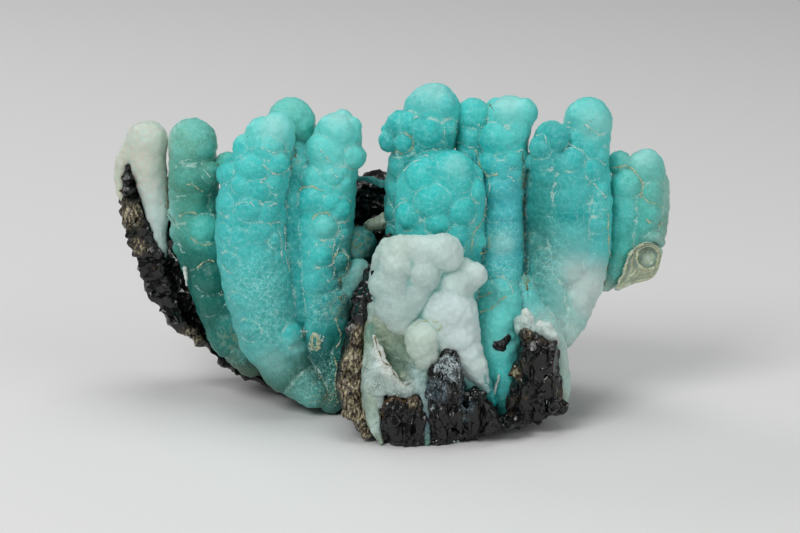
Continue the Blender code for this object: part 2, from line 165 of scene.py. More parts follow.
def newTree(name, inputs):
    tree = bpy.data.node_groups.new(name, "GeometryNodeTree")
    tree.interface.new_socket("Geometry", in_out="INPUT", socket_type="NodeSocketGeometry")
    for label, (kind, value) in inputs.items():
        socket = tree.interface.new_socket(label, in_out="INPUT", socket_type=kind)
        if value is not None:
            socket.default_value = value
    tree.interface.new_socket("Geometry", in_out="OUTPUT", socket_type="NodeSocketGeometry")
    return tree, tree.nodes.new("NodeGroupInput"), tree.nodes.new("NodeGroupOutput")


def runTree(piece, tree, values):
    modifier = piece.modifiers.new(tree.name, "NODES")
    modifier.node_group = tree
    for item in tree.interface.items_tree:
        if item.item_type == "SOCKET" and item.in_out == "INPUT" and item.name in values:
            modifier[item.identifier] = values[item.name]
    return settle(piece)


def settle(piece):
    bpy.context.view_layer.update()
    graph = bpy.context.evaluated_depsgraph_get()
    mesh = bpy.data.meshes.new_from_object(piece.evaluated_get(graph))
    piece.modifiers.clear()
    piece.data = mesh
    return piece


def newPiece(name, mesh):
    piece = bpy.data.objects.new(name, mesh)
    bpy.context.scene.collection.objects.link(piece)
    return piece


def pointsOf(mesh):
    places = np.empty(len(mesh.vertices) * 3, np.float32)
    mesh.vertices.foreach_get("co", places)
    return places.reshape(-1, 3).astype(np.float64) / mm


def movePoints(mesh, places):
    mesh.vertices.foreach_set("co", (places * mm).astype(np.float32).ravel())
    mesh.update()


def keepAboveFloor(piece):
    places = pointsOf(piece.data)
    places[:, 2] = np.maximum(places[:, 2], 0.0)
    movePoints(piece.data, places)


def storeNumber(mesh, name, values):
    layer = mesh.attributes.new(name, "FLOAT", "POINT")
    layer.data.foreach_set("value", np.ascontiguousarray(values, np.float32))


def storeColor(mesh, name, colors):
    layer = mesh.attributes.new(name, "FLOAT_COLOR", "POINT")
    full = np.ones((len(colors), 4), np.float32)
    full[:, :3] = colors
    layer.data.foreach_set("color", full.ravel())


# Colours of the growth, named for what they look like; the darkest ones (shade, deepSea, jade, deepGreen, murk) are
# partly painted shade
tints = {
    "bone": (0.66, 0.62, 0.46), "paleMint": (0.60, 0.58, 0.50), "mint": (0.12, 0.44, 0.33),
    "seaGreen": (0.045, 0.26, 0.18), "murk": (0.035, 0.11, 0.075), "aqua": (0.13, 0.63, 0.58),
    "turquoise": (0.015, 0.52, 0.50), "lagoon": (0.01, 0.43, 0.43), "ocean": (0.0, 0.32, 0.32),
    "shade": (0.0, 0.19, 0.18), "deepSea": (0.0, 0.11, 0.10), "skyBlue": (0.015, 0.36, 0.44),
    "mist": (0.045, 0.33, 0.32), "frost": (0.31, 0.49, 0.48), "pebble": (0.24, 0.33, 0.29),
    "milk": (0.52, 0.67, 0.63), "cloud": (0.33, 0.49, 0.46), "celadon": (0.29, 0.38, 0.28),
    "greyGreen": (0.12, 0.21, 0.15), "greyBlue": (0.10, 0.15, 0.18), "chalkWhite": (0.70, 0.75, 0.70),
    "sugarWhite": (0.36, 0.45, 0.42), "cream": (0.52, 0.53, 0.36), "seaGlass": (0.11, 0.26, 0.20),
    "lemonMilk": (0.50, 0.64, 0.50), "jade": (0.0, 0.12, 0.085), "scarGreen": (0.17, 0.27, 0.20),
    "snow": (0.66, 0.80, 0.80), "ivory": (0.70, 0.64, 0.50),
    "emerald": (0.035, 0.37, 0.27), "deepGreen": (0.0, 0.105, 0.08), "fern": (0.14, 0.37, 0.255),
    "moss": (0.05, 0.225, 0.14), "olive": (0.09, 0.10, 0.05),
}


# A limb is a run of balls joined by cones: places, radii and tints along it
def limbOf(run, colors=()):
    places, radii = [], []
    for u, h, y, radius in run:
        place, grow = onSheet(u, h, y)
        places.append(place)
        radii.append(radius * grow)
    limb = {"places": np.array(places), "radii": np.array(radii), "tints": None}
    if colors:
        marks = np.linspace(0, 1, len(colors))
        steps = np.linspace(0, 1, len(run))
        table = np.array([tints[name] for name in colors])
        limb["tints"] = np.stack([np.interp(steps, marks, table[:, i]) for i in range(3)], axis=1)
    return limb


# For each point: how far it lies outside the blended skin, the way out of it, the nearest limb's
# lead over the next one, and that limb's girth
def measureSkin(points, limbs, blend, reach=1.6):
    order = np.argsort(points[:, 0])
    sheet = points[order]
    column = np.ascontiguousarray(sheet[:, 0])
    count = len(points)
    total, pull = np.zeros(count), np.zeros((count, 3))
    first, second, girth = np.full(count, 9.0), np.full(count, 9.0), np.zeros(count)
    for limb in limbs:
        places, radii = limb["places"], limb["radii"]
        low = places.min(axis=0) - radii.max() - reach
        high = places.max(axis=0) + radii.max() + reach
        begin, end = np.searchsorted(column, (low[0], high[0]))
        rows = sheet[begin:end]
        inside = (rows[:, 1] > low[1]) & (rows[:, 1] < high[1]) & (rows[:, 2] > low[2]) & (rows[:, 2] < high[2])
        near = begin + np.flatnonzero(inside)
        if not len(near):
            continue
        here = sheet[near]
        best, size, way = np.full(len(near), 99.0), np.zeros(len(near)), np.zeros((len(near), 3))
        for i in range(max(1, len(places) - 1)):
            j = min(i + 1, len(places) - 1)
            along = places[j] - places[i]
            t = np.clip((here - places[i]) @ along / max(along @ along, 1e-9), 0, 1)
            off = here - places[i] - t[:, None] * along
            far = np.linalg.norm(off, axis=1) + 1e-9
            local = radii[i] + t * (radii[j] - radii[i])
            closer = far - local < best
            best[closer] = (far - local)[closer]
            size[closer] = local[closer]
            way[closer] = off[closer] / far[closer, None]
        weight = np.exp(-np.clip(best, -4, 9) / blend)
        total[near] += weight
        pull[near] += weight[:, None] * way
        ahead = best < first[near]
        second[near] = np.where(ahead, first[near], np.minimum(second[near], best))
        girth[near] = np.where(ahead, size, girth[near])
        first[near] = np.minimum(first[near], best)
    gap = np.where(total > 1e-12, -blend * np.log(np.maximum(total, 1e-12)), 9.0)
    pull /= np.linalg.norm(pull, axis=1)[:, None] + 1e-9
    back = np.argsort(order)
    return gap[back], pull[back], (second - first)[back], girth[back]


# The tint at each point: every finger's colour along its length, blended where fingers meet
def tintOf(points, limbs, blend=0.9):
    color, share = np.zeros((len(points), 3)), np.full(len(points), 1e-12)
    for limb in limbs:
        places, radii, shades = limb["places"], limb["radii"], limb["tints"]
        best, tint = np.full(len(points), 99.0), np.zeros((len(points), 3))
        for i in range(len(places) - 1):
            along = places[i + 1] - places[i]
            t = np.clip((points - places[i]) @ along / (along @ along), 0, 1)
            gap = np.linalg.norm(points - places[i] - t[:, None] * along, axis=1)
            gap -= radii[i] + t * (radii[i + 1] - radii[i])
            closer = gap < best
            best[closer] = gap[closer]
            tint[closer] = shades[i] + t[closer, None] * (shades[i + 1] - shades[i])
        weight = np.exp(-np.clip(best, -4, 20) / blend)
        color += weight[:, None] * tint
        share += weight
    return color / share[:, None]


# A stud is a low dome: the ball that meets a finger of this girth at the given width and rises
# that far out of it
def studBall(place, way, width, rise, girth):
    girth = max(girth, 1.15 * width)
    flat = math.sqrt(girth**2 - width**2)
    axisGap = ((girth + rise)**2 - girth**2) / (2 * (girth + rise - flat))
    radius = girth + rise - axisGap
    return {"places": np.array([place - way * (radius - rise)]), "radii": np.array([radius]), "tints": None}


def placeStuds(studs, fingers, rule):
    depths = np.arange(-17.0, 20.0, 0.2)
    rays = np.array([[onSheet(u, h, depth)[0] for depth in depths] for u, h, *_ in studs])
    gap, _, _, _ = measureSkin(rays.reshape(-1, 3), fingers, rule["blend"], 4.0)
    gap = gap.reshape(len(studs), -1)
    hits = []
    for ray, gaps in zip(rays, gap):
        inside = np.flatnonzero(gaps < 0)
        hits.append(ray[inside[0]] if len(inside) else ray[gaps.argmin()])
    hits = np.array(hits)
    gap, way, _, girth = measureSkin(hits, fingers, rule["blend"], 4.0)
    hits -= gap[:, None] * way
    balls = [studBall(hit, out, stud[2], stud[3] * rule["lift"], size)
             for stud, hit, out, size in zip(studs, hits, way, girth)]
    return balls, hits


# Low domes strewn over all that the placed ones leave open, the hidden sides too
def strewStuds(fingers, taken, rule, blend, seed):
    dice = np.random.default_rng(seed)
    trials = []
    for finger in fingers:
        places, radii = finger["places"], finger["radii"]
        for i in range(len(places) - 1):
            along = places[i + 1] - places[i]
            tries = int(np.linalg.norm(along) * radii[i] * rule["tries"]) + 4
            aim = dice.normal(size=(tries, 3))
            aim /= np.linalg.norm(aim, axis=1)[:, None]
            t = dice.random(tries)
            local = radii[i] + t * (radii[i + 1] - radii[i])
            trials.append(places[i] + t[:, None] * along + aim * local[:, None])
    trials = np.concatenate(trials)
    dice.shuffle(trials)
    gap, way, _, girth = measureSkin(trials, fingers, blend)
    calm = zoneShare(trials, calmZones)
    keptPlaces, keptWidths = [hit for hit, _ in taken], [width for _, width in taken]
    balls = []
    for k in np.flatnonzero(np.abs(gap) < 0.35):
        if girth[k] < 1.5:
            continue
        width = min(dice.uniform(*rule["widths"]), 0.6 * girth[k])
        if keptPlaces:
            far = np.linalg.norm(np.array(keptPlaces) - trials[k], axis=1)
            if (far < rule["spacing"] * (width + np.array(keptWidths))).any():
                continue
        rise = width * dice.uniform(*rule["rises"]) * (1 - 0.85 * calm[k]) * (rule["backLift"] if way[k, 1] > 0.2 else 1)
        keptPlaces.append(trials[k])
        keptWidths.append(width)
        balls.append(studBall(trials[k] - gap[k] * way[k], way[k], width, rise, girth[k]))
    return balls


# Balls strung along the limbs, made one skin by a volume
def skinTree():
    tree, given, out = newTree("ballsToSkin", {"Voxel": ("NodeSocketFloat", 0.0003)})
    radius = put(tree, "GeometryNodeInputNamedAttribute", {"Name": "ballRadius"}, data_type="FLOAT")
    dots = put(tree, "GeometryNodeMeshToPoints", {"Mesh": given.outputs["Geometry"]})
    volume = put(tree, "GeometryNodePointsToVolume", {"Points": dots.outputs[0], "Density": 1.0},
                 resolution_mode="VOXEL_SIZE")
    tree.links.new(radius.outputs[0], volume.inputs["Radius"])
    tree.links.new(given.outputs["Voxel"], volume.inputs["Voxel Size"])
    skin = put(tree, "GeometryNodeVolumeToMesh", {"Volume": volume.outputs[0], "Threshold": 0.1})
    real = put(tree, "GeometryNodeRealizeInstances", {"Geometry": skin.outputs[0]})
    tree.links.new(real.outputs[0], out.inputs[0])
    return tree


def growSkin(name, limbs, voxel, blend):
    places, radii = [], []
    for limb in limbs:
        spots, sizes = limb["places"], limb["radii"]
        if len(spots) == 1:
            places.append(spots[0])
            radii.append(sizes[0])
        for start, end, wide, narrow in zip(spots, spots[1:], sizes, sizes[1:]):
            steps = max(2, int(np.linalg.norm(end - start) / (0.2 * min(wide, narrow))))
            for t in np.linspace(0, 1, steps):
                places.append(start + t * (end - start))
                radii.append(wide + t * (narrow - wide))
    mesh = bpy.data.meshes.new(name)
    mesh.from_pydata([Vector(place) * mm for place in places], [], [])
    storeNumber(mesh, "ballRadius", np.array(radii) * mm)
    piece = newPiece(name, mesh)
    runTree(piece, skinTree(), {"Voxel": voxel * 1.0 * mm})
    points = pointsOf(piece.data)
    for _ in range(4):
        gap, way, _, _ = measureSkin(points, limbs, blend)
        points -= np.clip(gap, -0.5, 0.5)[:, None] * way
    movePoints(piece.data, points)
    print(name, "skin of", len(points), "points")
    return piece


growthRule = {
    "blend": 0.13, "lift": 1.75, "tries": 9, "widths": (1.0, 2.3), "rises": (0.05, 0.15), "spacing": 0.62,
    "backLift": 2.2,
}

# Each finger's tints run from pale tips to dark feet: partly the mineral's own colour, partly painted light on the tops
# and painted shade low down and on the shaded sides
leftSheaf = {
    "voxel": 0.27,
    "fingers": {
        "paleEnd": ([
            (-37.5, 47.7, 13, 3.1), (-37.5, 44.6, 13, 2.8), (-36.6, 40.8, 12.8, 2.2), (-35.9, 36.5, 12.4, 1.7),
            (-35.5, 32.6, 12.6, 0.95), (-34.9, 30.3, 12.8, 0.5),
        ], ("bone", "ivory", "paleMint", "milk", "cloud")),
        "curledShell": ([
            (-39.6, 47.0, 12.8, 1.6), (-41.3, 44.9, 12.4, 1.1), (-41.9, 42.4, 12.2, 0.75), (-41.7, 40.2, 12.0, 0.6),
            (-41.2, 38.4, 12.0, 0.4),
        ], ("bone", "paleMint", "bone", "cream")),
        "seaGreen": ([
            (-30.6, 47.7, 12, 3.5), (-30.5, 42.6, 12, 3.6), (-30.2, 37.2, 12, 3.9),
            (-28.6, 31.1, 11, 4.2), (-26.6, 24.9, 11, 4.1), (-24.3, 18.0, 10, 3.6),
            (-21.9, 13.8, 9, 1.9),
        ], ("fern", "moss", "moss", "jade", "deepGreen", "jade", "olive")),
        "greatFront": ([
            (-18.3, 48.3, 5.5, 3.4), (-19.8, 44.2, 5, 4.4), (-21.4, 38.8, 5, 5.2),
            (-21.5, 33.4, 5, 5.4), (-20.9, 28.8, 5, 5.5), (-19.7, 23.4, 5, 5.4),
            (-18.3, 18.0, 5, 5.1), (-15.6, 13.2, 4.5, 4.2), (-12.0, 9.2, 2.5, 2.4),
        ], ("aqua", "turquoise", "lagoon", "lagoon", "mist", "mist", "murk", "seaGlass")),
        "hiddenRear": ([
            (-15.3, 50.9, 11, 3.5), (-14.8, 46.5, 11, 3.3), (-14.5, 40.3, 11, 3.1),
            (-14.3, 32.6, 11, 2.8),
        ], ("mint", "mint", "ocean", "shade")),
        "twinRight": ([
            (-8.1, 48.6, 8, 3.6), (-9.4, 44.2, 8, 4.2), (-10.2, 38.8, 7.5, 4.6),
            (-10.6, 33.4, 7, 4.5), (-10.9, 28.0, 6.5, 4.2), (-10.6, 21.8, 6, 4.0),
            (-10.2, 15.7, 5.5, 3.7), (-9.7, 10.6, 5, 2.8),
        ], ("aqua", "aqua", "turquoise", "lagoon", "lagoon", "ocean", "deepSea", "murk")),
        "curtain": ([
            (-8.6, 23.4, 4, 2.2), (-8.3, 17.2, 4, 2.0), (-8.4, 11.1, 3.5, 2.0), (-9.2, 7.6, 3, 1.7),
        ], ("shade", "jade", "jade", "murk")),
        "rearMass": ([
            (-30, 33, 15, 3.5), (-22, 30, 14, 6.0), (-13, 26, 13, 5.0), (-8, 20, 11, 4.0),
        ], ("seaGreen", "deepGreen")),
        "darkDome": ([(-5.1, 32.0, 8.2, 2.7), (-4.9, 31.0, 9.5, 2.6)], ("deepSea", "deepSea")),
        "darkLobe": ([(-7.6, 29.4, 4.4, 1.5), (-7.4, 27.4, 4.6, 1.4)], ("shade", "shade")),
        "paleDome": ([(-5.1, 27.6, 4.8, 2.1), (-6.1, 26.0, 4.7, 1.7), (-7.0, 22.5, 4.6, 1.1)],
                     ("pebble", "pebble", "seaGlass")),
        "between": ([
            (-14.6, 45.0, 7.5, 2.8), (-15.2, 38.0, 7.5, 3.4), (-15.2, 30.0, 7, 3.6),
            (-14.6, 22.0, 6, 3.6),
        ], ("ocean", "lagoon")),
    },
    "lobes": [  # balls at a known depth
        (-30.5, 47.5, 11.3, 3.75), (-30.6, 41.8, 10.8, 3.6), (-28.1, 43.0, 9.4, 1.8), (-30.8, 37.6, 10.4, 3.0),
        (-28.7, 34.5, 9.0, 2.5), (-27.4, 27.0, 8.0, 2.7), (-25.1, 44.4, 10.5, 1.8), (-17.4, 49.6, 4.8, 2.7), (-19.8, 48.9, 4.6, 2.6),
        (-22.0, 46.6, 4.8, 2.4), (-24.9, 42.6, 6.0, 2.0), (-5.8, 45.4, 7.0, 2.0),
    ],
    "studs": [  # (u, h, width, rise) on the front
        (-17.2, 49.9, 2.5, 0.4), (-19.8, 49.6, 2.0, 0.35), (-21.8, 47.8, 2.0, 0.4), (-19.0, 46.6, 2.6, 0.6),
        (-17.2, 44.5, 1.8, 0.7), (-21.4, 43.4, 2.2, 0.6), (-24.9, 42.9, 1.7, 0.7),
        (-23.2, 40.8, 1.7, 0.4), (-17.7, 41.1, 1.8, 0.4), (-25.5, 38.0, 1.8, 0.5),
        (-20.6, 40.2, 2.0, 0.5), (-21.7, 37.1, 2.2, 0.5), (-18.9, 36.8, 2.0, 0.35),
        (-25.7, 33.7, 1.7, 0.4), (-23.5, 32.9, 1.8, 0.3), (-20.0, 33.7, 2.0, 0.3),
        (-17.8, 32.6, 1.4, 0.3), (-24.8, 29.2, 1.8, 0.35), (-19.8, 29.2, 2.2, 0.25),
        (-23.8, 23.4, 1.5, 0.3), (-21.8, 18.8, 2.0, 0.5, "mist"), (-15.1, 18.0, 2.2, 0.5, "turquoise"),
        (-7.1, 52.3, 1.4, 0.35), (-10.0, 50.8, 1.5, 0.3), (-5.4, 50.5, 1.4, 0.35),
        (-7.8, 49.8, 2.2, 0.3), (-5.8, 45.4, 1.8, 0.8), (-11.5, 46.5, 2.6, 0.7),
        (-12.8, 42.3, 2.2, 0.4), (-8.9, 42.3, 1.8, 0.35), (-6.9, 41.1, 1.4, 0.3),
        (-12.6, 38.8, 2.3, 0.5), (-9.1, 38.2, 1.5, 0.35), (-7.5, 37.2, 1.9, 0.5, "turquoise"),
        (-10.2, 34.6, 2.0, 0.6, "aqua"), (-10.6, 30.2, 1.9, 0.5, "turquoise"), (-11.5, 25.7, 2.2, 0.3),
        (-9.8, 23.4, 1.5, 0.25), (-7.1, 33.4, 1.1, 0.3), (-7.7, 29.2, 1.4, 0.5, "shade"),
        (-29.8, 48.8, 2.2, 0.3), (-32.5, 46.5, 1.7, 0.3), (-28.6, 46.5, 1.8, 0.5),
        (-27.4, 42.2, 1.8, 0.5, "fern"), (-31.2, 42.0, 2.4, 0.55), (-30.6, 38.6, 2.5, 0.5),
        (-33.2, 39.5, 1.2, 0.3), (-28.9, 34.5, 2.5, 0.7, "emerald"), (-33.2, 33.4, 2.0, 0.4),
        (-33.7, 36.5, 1.1, 0.4), (-27.4, 26.8, 2.6, 0.6, "jade"), (-28.2, 22.6, 2.3, 0.35, "jade"),
        (-31.7, 29.2, 1.8, 0.3), (-32.8, 31.1, 1.4, 0.4), (-25.1, 19.5, 2.0, 0.4),
        (-38.6, 49.5, 1.5, 0.2), (-37.1, 44.0, 2.4, 0.2), (-36.3, 39.5, 1.7, 0.1), (-23.2, 14.6, 2.2, 0.5),
        (-20.9, 11.8, 1.5, 0.3), (-15.4, 51.4, 2.2, 0.3), (-13.4, 50.2, 1.4, 0.25),
    ],
}

# As on the left, tints darken down each finger: partly own colour, partly painted light and painted shade
rightSheaf = {
    "voxel": 0.29,
    "fingers": {
        "tallCrown": ([
            (6.4, 52.5, 8, 4.1), (5.2, 48.0, 8, 4.5), (4.4, 42.6, 8, 5.0), (3.9, 36.5, 8, 4.8),
            (4.2, 30.3, 8, 4.4), (5.2, 24.9, 8, 4.0),
        ], ("turquoise", "ocean", "deepSea", "deepSea", "deepSea")),
        "greatDome": ([
            (7.6, 39.8, 4, 6.9), (7.6, 34.0, 4, 6.8), (8.0, 28.0, 4, 6.0), (10.0, 20.0, 3, 4.5),
        ], ("turquoise", "lagoon", "shade", "ocean")),
        "smallCrown": ([
            (12.6, 51.8, 9, 2.6), (12.9, 48.0, 9, 2.9), (13.7, 41.8, 8, 3.2),
        ], ("turquoise", "lagoon", "skyBlue")),
        "blueColumn": ([
            (18.3, 51.4, 8, 3.4), (17.5, 46.5, 7, 3.4), (17.1, 41.1, 6.5, 3.4),
            (16.8, 35.7, 6, 3.5), (16.7, 29.5, 5.5, 3.7), (16.7, 23.4, 5, 3.7),
            (16.8, 17.0, 2, 3.4),
        ], ("aqua", "turquoise", "skyBlue", "skyBlue", "skyBlue", "skyBlue", "lagoon")),
        "broadLeft": ([
            (24.9, 48.0, 6, 2.8), (24.5, 41.8, 6.5, 3.6), (24.5, 35.7, 6.5, 3.7),
            (24.5, 29.5, 6, 3.4), (24.8, 23.4, 4, 2.9), (26.0, 18.8, 2, 2.0),
        ], ("ocean", "jade", "jade", "jade", "pebble")),
        "broadRight": ([
            (30.3, 50.7, 9, 3.5), (29.4, 44.2, 8, 4.1), (29.7, 38.0, 7.5, 4.2),
            (29.8, 31.8, 7, 4.0), (29.1, 25.7, 5.5, 3.4), (27.7, 20.3, 3, 2.3),
            (26.8, 17.2, 1, 1.3),
        ], ("aqua", "turquoise", "turquoise", "lagoon", "milk", "pebble", "celadon")),
        "broadMiddle": ([
            (27.1, 44.5, 7, 4.4), (27.1, 37.0, 6.5, 4.7), (27.1, 29.0, 6, 4.4),
        ], ("lagoon", "ocean", "frost")),
        "greenEnd": ([
            (39.1, 43.4, 11.6, 3.0), (38.9, 39.4, 11.6, 3.3), (38.0, 34.6, 11.2, 3.3), (36.6, 30.4, 10.6, 2.7),
            (34.6, 27.6, 9.6, 2.0), (33.0, 25.8, 8.6, 1.2),
        ], ("mint", "mint", "emerald", "seaGreen", "seaGlass", "celadon")),
        "greenFront": ([
            (36.2, 41.2, 10.3, 2.5), (36.0, 36.5, 10.2, 2.6), (35.4, 31.4, 9.8, 2.5), (34.2, 28.0, 9, 1.8),
        ], ("aqua", "lagoon", "emerald", "seaGreen")),
        "greenHollow": ([(37.4, 41.0, 11.0, 2.6), (37.2, 35.0, 10.8, 2.7)], ("mint", "seaGreen")),
        "brokenRim": ([
            (41.2, 41.6, 11.9, 1.5), (41.7, 38.0, 11.9, 1.25), (41.3, 35.0, 11.4, 1.3), (40.7, 32.4, 10.6, 1.4),
        ], ("celadon", "celadon")),
        "paleLip": ([(39.4, 32.6, 8.6, 0.8), (40.8, 33.0, 8.4, 0.9), (41.5, 32.2, 8.6, 0.8)],
                    ("pebble", "pebble")),
        "hollowEnd": ([
            (35.4, 26.2, 10.0, 0.9), (37.2, 28.2, 10.6, 1.6), (39.2, 30.0, 11.2, 1.9), (40.2, 30.6, 11.4, 1.5),
        ], ("celadon", "celadon")),
        "lowWall": ([
            (16.6, 23.6, 2.4, 3.5), (16.4, 19.6, 0.0, 3.8), (16.4, 16.0, -1.6, 3.7), (16.6, 12.6, -2.6, 3.3),
            (16.8, 9.6, -3.6, 2.8), (17.1, 7.0, -4.4, 2.0), (17.4, 4.6, -5.0, 1.2),
        ], ("aqua", "aqua", "aqua", "turquoise", "ocean", "shade", "shade")),
        "edgeCrust": ([
            (24.2, 18.8, -1.8, 1.9), (25.1, 16.6, -2.8, 1.7), (25.7, 13.4, -3.6, 1.6), (26.1, 10.2, -3.8, 1.5),
            (26.0, 7.4, -3.6, 1.2),
        ], ("pebble", "celadon", "celadon", "celadon")),
        "lowBridge": ([
            (20.6, 25.0, 5.2, 2.8), (21.6, 21.6, 3.2, 3.0), (23.6, 18.4, 0.8, 2.8),
        ], ("lagoon", "frost")),
        "rearMass": ([
            (8, 30, 14, 5.0), (18, 30, 12, 4.5), (27, 32, 12, 4.5), (34, 36, 13, 3.0),
        ], ("ocean", "deepGreen")),
    },
    "lobes": [  # balls at a known depth
        (-0.2, 47.8, 6.5, 1.7), (2.0, 47.5, 4.4, 1.5), (1.6, 50.2, 7, 2.4), (16.2, 53.0, 11, 1.5),
        (-0.2, 49.3, 7.5, 1.3), (20.3, 52.2, 7.0, 2.3), (30.4, 51.2, 8.0, 3.4), (35.2, 44.4, 11, 1.9),
        (23.0, 46.8, 5.2, 1.7), (21.5, 44.6, 6.0, 1.2), (15.2, 22.0, 1.6, 2.6),
        *((20.8, h, 4.2 + 0.095 * h, 2.1) for h in range(24, 46, 2)),  # floor of the groove beside the blue column
    ],
    "studs": [  # (u, h, width, rise) on the front
        (5.2, 54.3, 2.2, 0.4), (8.5, 53.5, 2.0, 0.4), (5.6, 49.0, 2.4, 0.7), (8.9, 49.6, 1.6, 0.45),
        (2.6, 50.2, 2.2, 0.7), (0.8, 43.7, 1.6, 0.4), (0.3, 40.3, 1.7, 0.4), (-0.2, 36.9, 1.5, 0.35),
        (4.6, 43.0, 3.0, 0.85), (10.2, 44.0, 3.3, 0.85), (10.9, 41.6, 1.7, 0.4), (6.4, 38.4, 2.8, 0.7),
        (2.6, 36.4, 2.3, 0.85), (4.7, 38.0, 1.4, 0.3), (7.2, 35.2, 1.9, 0.6), (11.1, 37.0, 2.3, 0.7),
        (13.4, 40.3, 1.8, 0.5), (10.4, 33.2, 2.0, 0.45), (0.2, 33.8, 1.4, 0.4), (13.4, 43.1, 1.4, 0.3),
        (12.6, 51.9, 2.5, 0.4), (12.6, 48.2, 1.8, 0.3),
                (17.5, 52.5, 2.0, 0.3), (20.0, 52.3, 1.8, 0.35), (20.2, 49.5, 2.0, 0.35),
        (15.6, 48.2, 2.8, 0.8), (18.2, 48.3, 1.8, 0.3), (14.8, 44.5, 2.0, 0.6),
        (16.8, 43.7, 1.5, 0.25), (15.7, 40.8, 1.7, 0.35), (18.8, 44.9, 1.4, 0.4),
        (17.5, 40.3, 1.8, 0.25), (18.6, 36.5, 1.5, 0.2), (16.3, 36.5, 1.7, 0.25),
        (17.7, 31.8, 1.8, 0.2), (16.0, 28.0, 1.5, 0.25), (17.2, 25.4, 1.7, 0.4),
        (13.8, 32.3, 1.4, 0.4, "turquoise"), (18.6, 27.2, 1.4, 0.2), (17.5, 20.6, 2.8, 0.4, "aqua"),
        (22.9, 46.8, 2.0, 0.6), (25.4, 48.6, 2.2, 0.6), (28.4, 48.0, 2.6, 0.6),
        (30.6, 46.5, 2.2, 0.35), (28.0, 44.9, 1.8, 0.45), (30.9, 43.4, 2.0, 0.4),
        (32.3, 45.7, 1.1, 0.35), (26.0, 44.2, 1.5, 0.25), (23.7, 41.8, 1.8, 0.25),
        (29.8, 39.5, 2.2, 0.2), (26.8, 38.8, 1.8, 0.2), (32.6, 40.3, 1.2, 0.3),
        (32.8, 34.9, 1.2, 0.25), (31.4, 34.9, 1.8, 0.2), (28.3, 33.4, 2.0, 0.2),
        (24.5, 34.9, 1.7, 0.2), (22.2, 32.6, 1.2, 0.3), (23.7, 30.3, 1.5, 0.2),
        (30.6, 29.2, 2.2, 0.25), (26.8, 28.0, 1.8, 0.15), (28.8, 23.4, 2.0, 0.25),
        (39.1, 43.8, 2.6, 0.4), (40.2, 40.0, 1.5, 0.3), (40.3, 36.5, 1.25, 0.3), (36.3, 41.0, 2.4, 0.5),
        (35.8, 36.5, 2.2, 0.2),
    ],
}

paleRule = {**growthRule, "blend": 0.17, "lift": 1.6, "rises": (0.02, 0.07)}
paleGrowth = {
    "voxel": 0.22,
    "fingers": {
        "backMass": ([(5.0, 28.6, -3.8, 4.4), (7.2, 24.8, -3.2, 4.6), (5.0, 21.4, -2.6, 5.6), (6.8, 16.0, -4.4, 4.9)],
                     ("cloud", "frost", "frost", "cloud")),
        "leftMass": ([
            (1.3, 29.8, -5.9, 2.8), (1.0, 27.2, -6.0, 3.2), (1.0, 24.8, -6.4, 3.3), (0.8, 22.4, -6.8, 3.2),
            (0.9, 20.4, -7.4, 2.3), (1.7, 18.8, -8.4, 1.0),
        ], ("milk", "cloud", "cloud", "cloud", "celadon")),
        "innerMass": ([
            (5.0, 29.4, -6.0, 2.9), (4.7, 27.0, -6.2, 3.0), (3.6, 24.4, -6.8, 2.6), (2.4, 22.2, -7.2, 2.2),
            (1.6, 20.4, -7.4, 1.7),
        ], ("milk", "cloud", "cloud", "milk")),
        "topMass": ([(1.6, 30.9, -5.6, 2.3), (5.2, 30.5, -5.8, 2.7), (8.0, 30.4, -5.4, 3.0)],
                    ("lemonMilk", "milk", "milk")),
        "rightMass": ([
            (10.6, 27.8, -4.6, 2.1), (9.8, 25.4, -5.3, 2.9), (8.7, 21.6, -5.7, 4.5), (9.4, 17.8, -6.2, 4.2),
            (10.9, 15.2, -7.4, 3.0), (12.6, 13.2, -8.3, 2.0), (13.9, 11.2, -8.8, 1.2), (14.8, 9.6, -8.9, 0.6),
        ], ("milk", "milk", "snow", "snow", "snow", "milk", "frost", "mist")),
        "rightBall": ([(11.4, 26.4, -4.9, 2.0), (12.7, 27.1, -5.1, 1.95)], ("milk", "milk")),
        "yellowDome": ([
            (4.8, 17.6, -8.2, 2.8), (5.0, 16.2, -8.6, 2.7), (5.6, 14.2, -9.8, 1.9), (5.6, 12.0, -10.8, 1.0),
        ], ("lemonMilk", "lemonMilk", "celadon", "seaGlass")),
        "leftLip": ([
            (-0.8, 32.0, -5.0, 0.9), (-2.0, 29.6, -5.0, 0.9), (-2.6, 26.8, -5.2, 0.8), (-3.0, 24.0, -5.8, 0.7),
            (-2.8, 21.0, -7.0, 0.8), (-2.6, 18.6, -8.2, 0.8),
        ], ("seaGlass", "cloud", "pebble", "seaGlass", "celadon")),
    },
    "lobes": [],
    "studs": [  # (u, h, width, rise) on the front
        (1.5, 31.5, 1.9, 0.35), (5.2, 31.2, 2.0, 0.35), (8.2, 31.5, 2.6, 0.5), (9.9, 29.2, 1.6, 0.2),
        (12.8, 27.2, 1.7, 0.3), (5.4, 26.8, 2.3, 0.4), (0.9, 28.0, 2.5, 0.4), (0.8, 22.3, 3.0, 0.35),
        (3.6, 24.2, 1.8, 0.2), (9.4, 24.9, 2.5, 0.4), (8.6, 21.5, 3.6, 0.35), (10.8, 17.2, 2.8, 0.35),
        (4.9, 17.2, 2.3, 0.3), (11.9, 20.8, 1.6, 0.2), (0.0, 25.3, 1.6, 0.2),
    ],
}

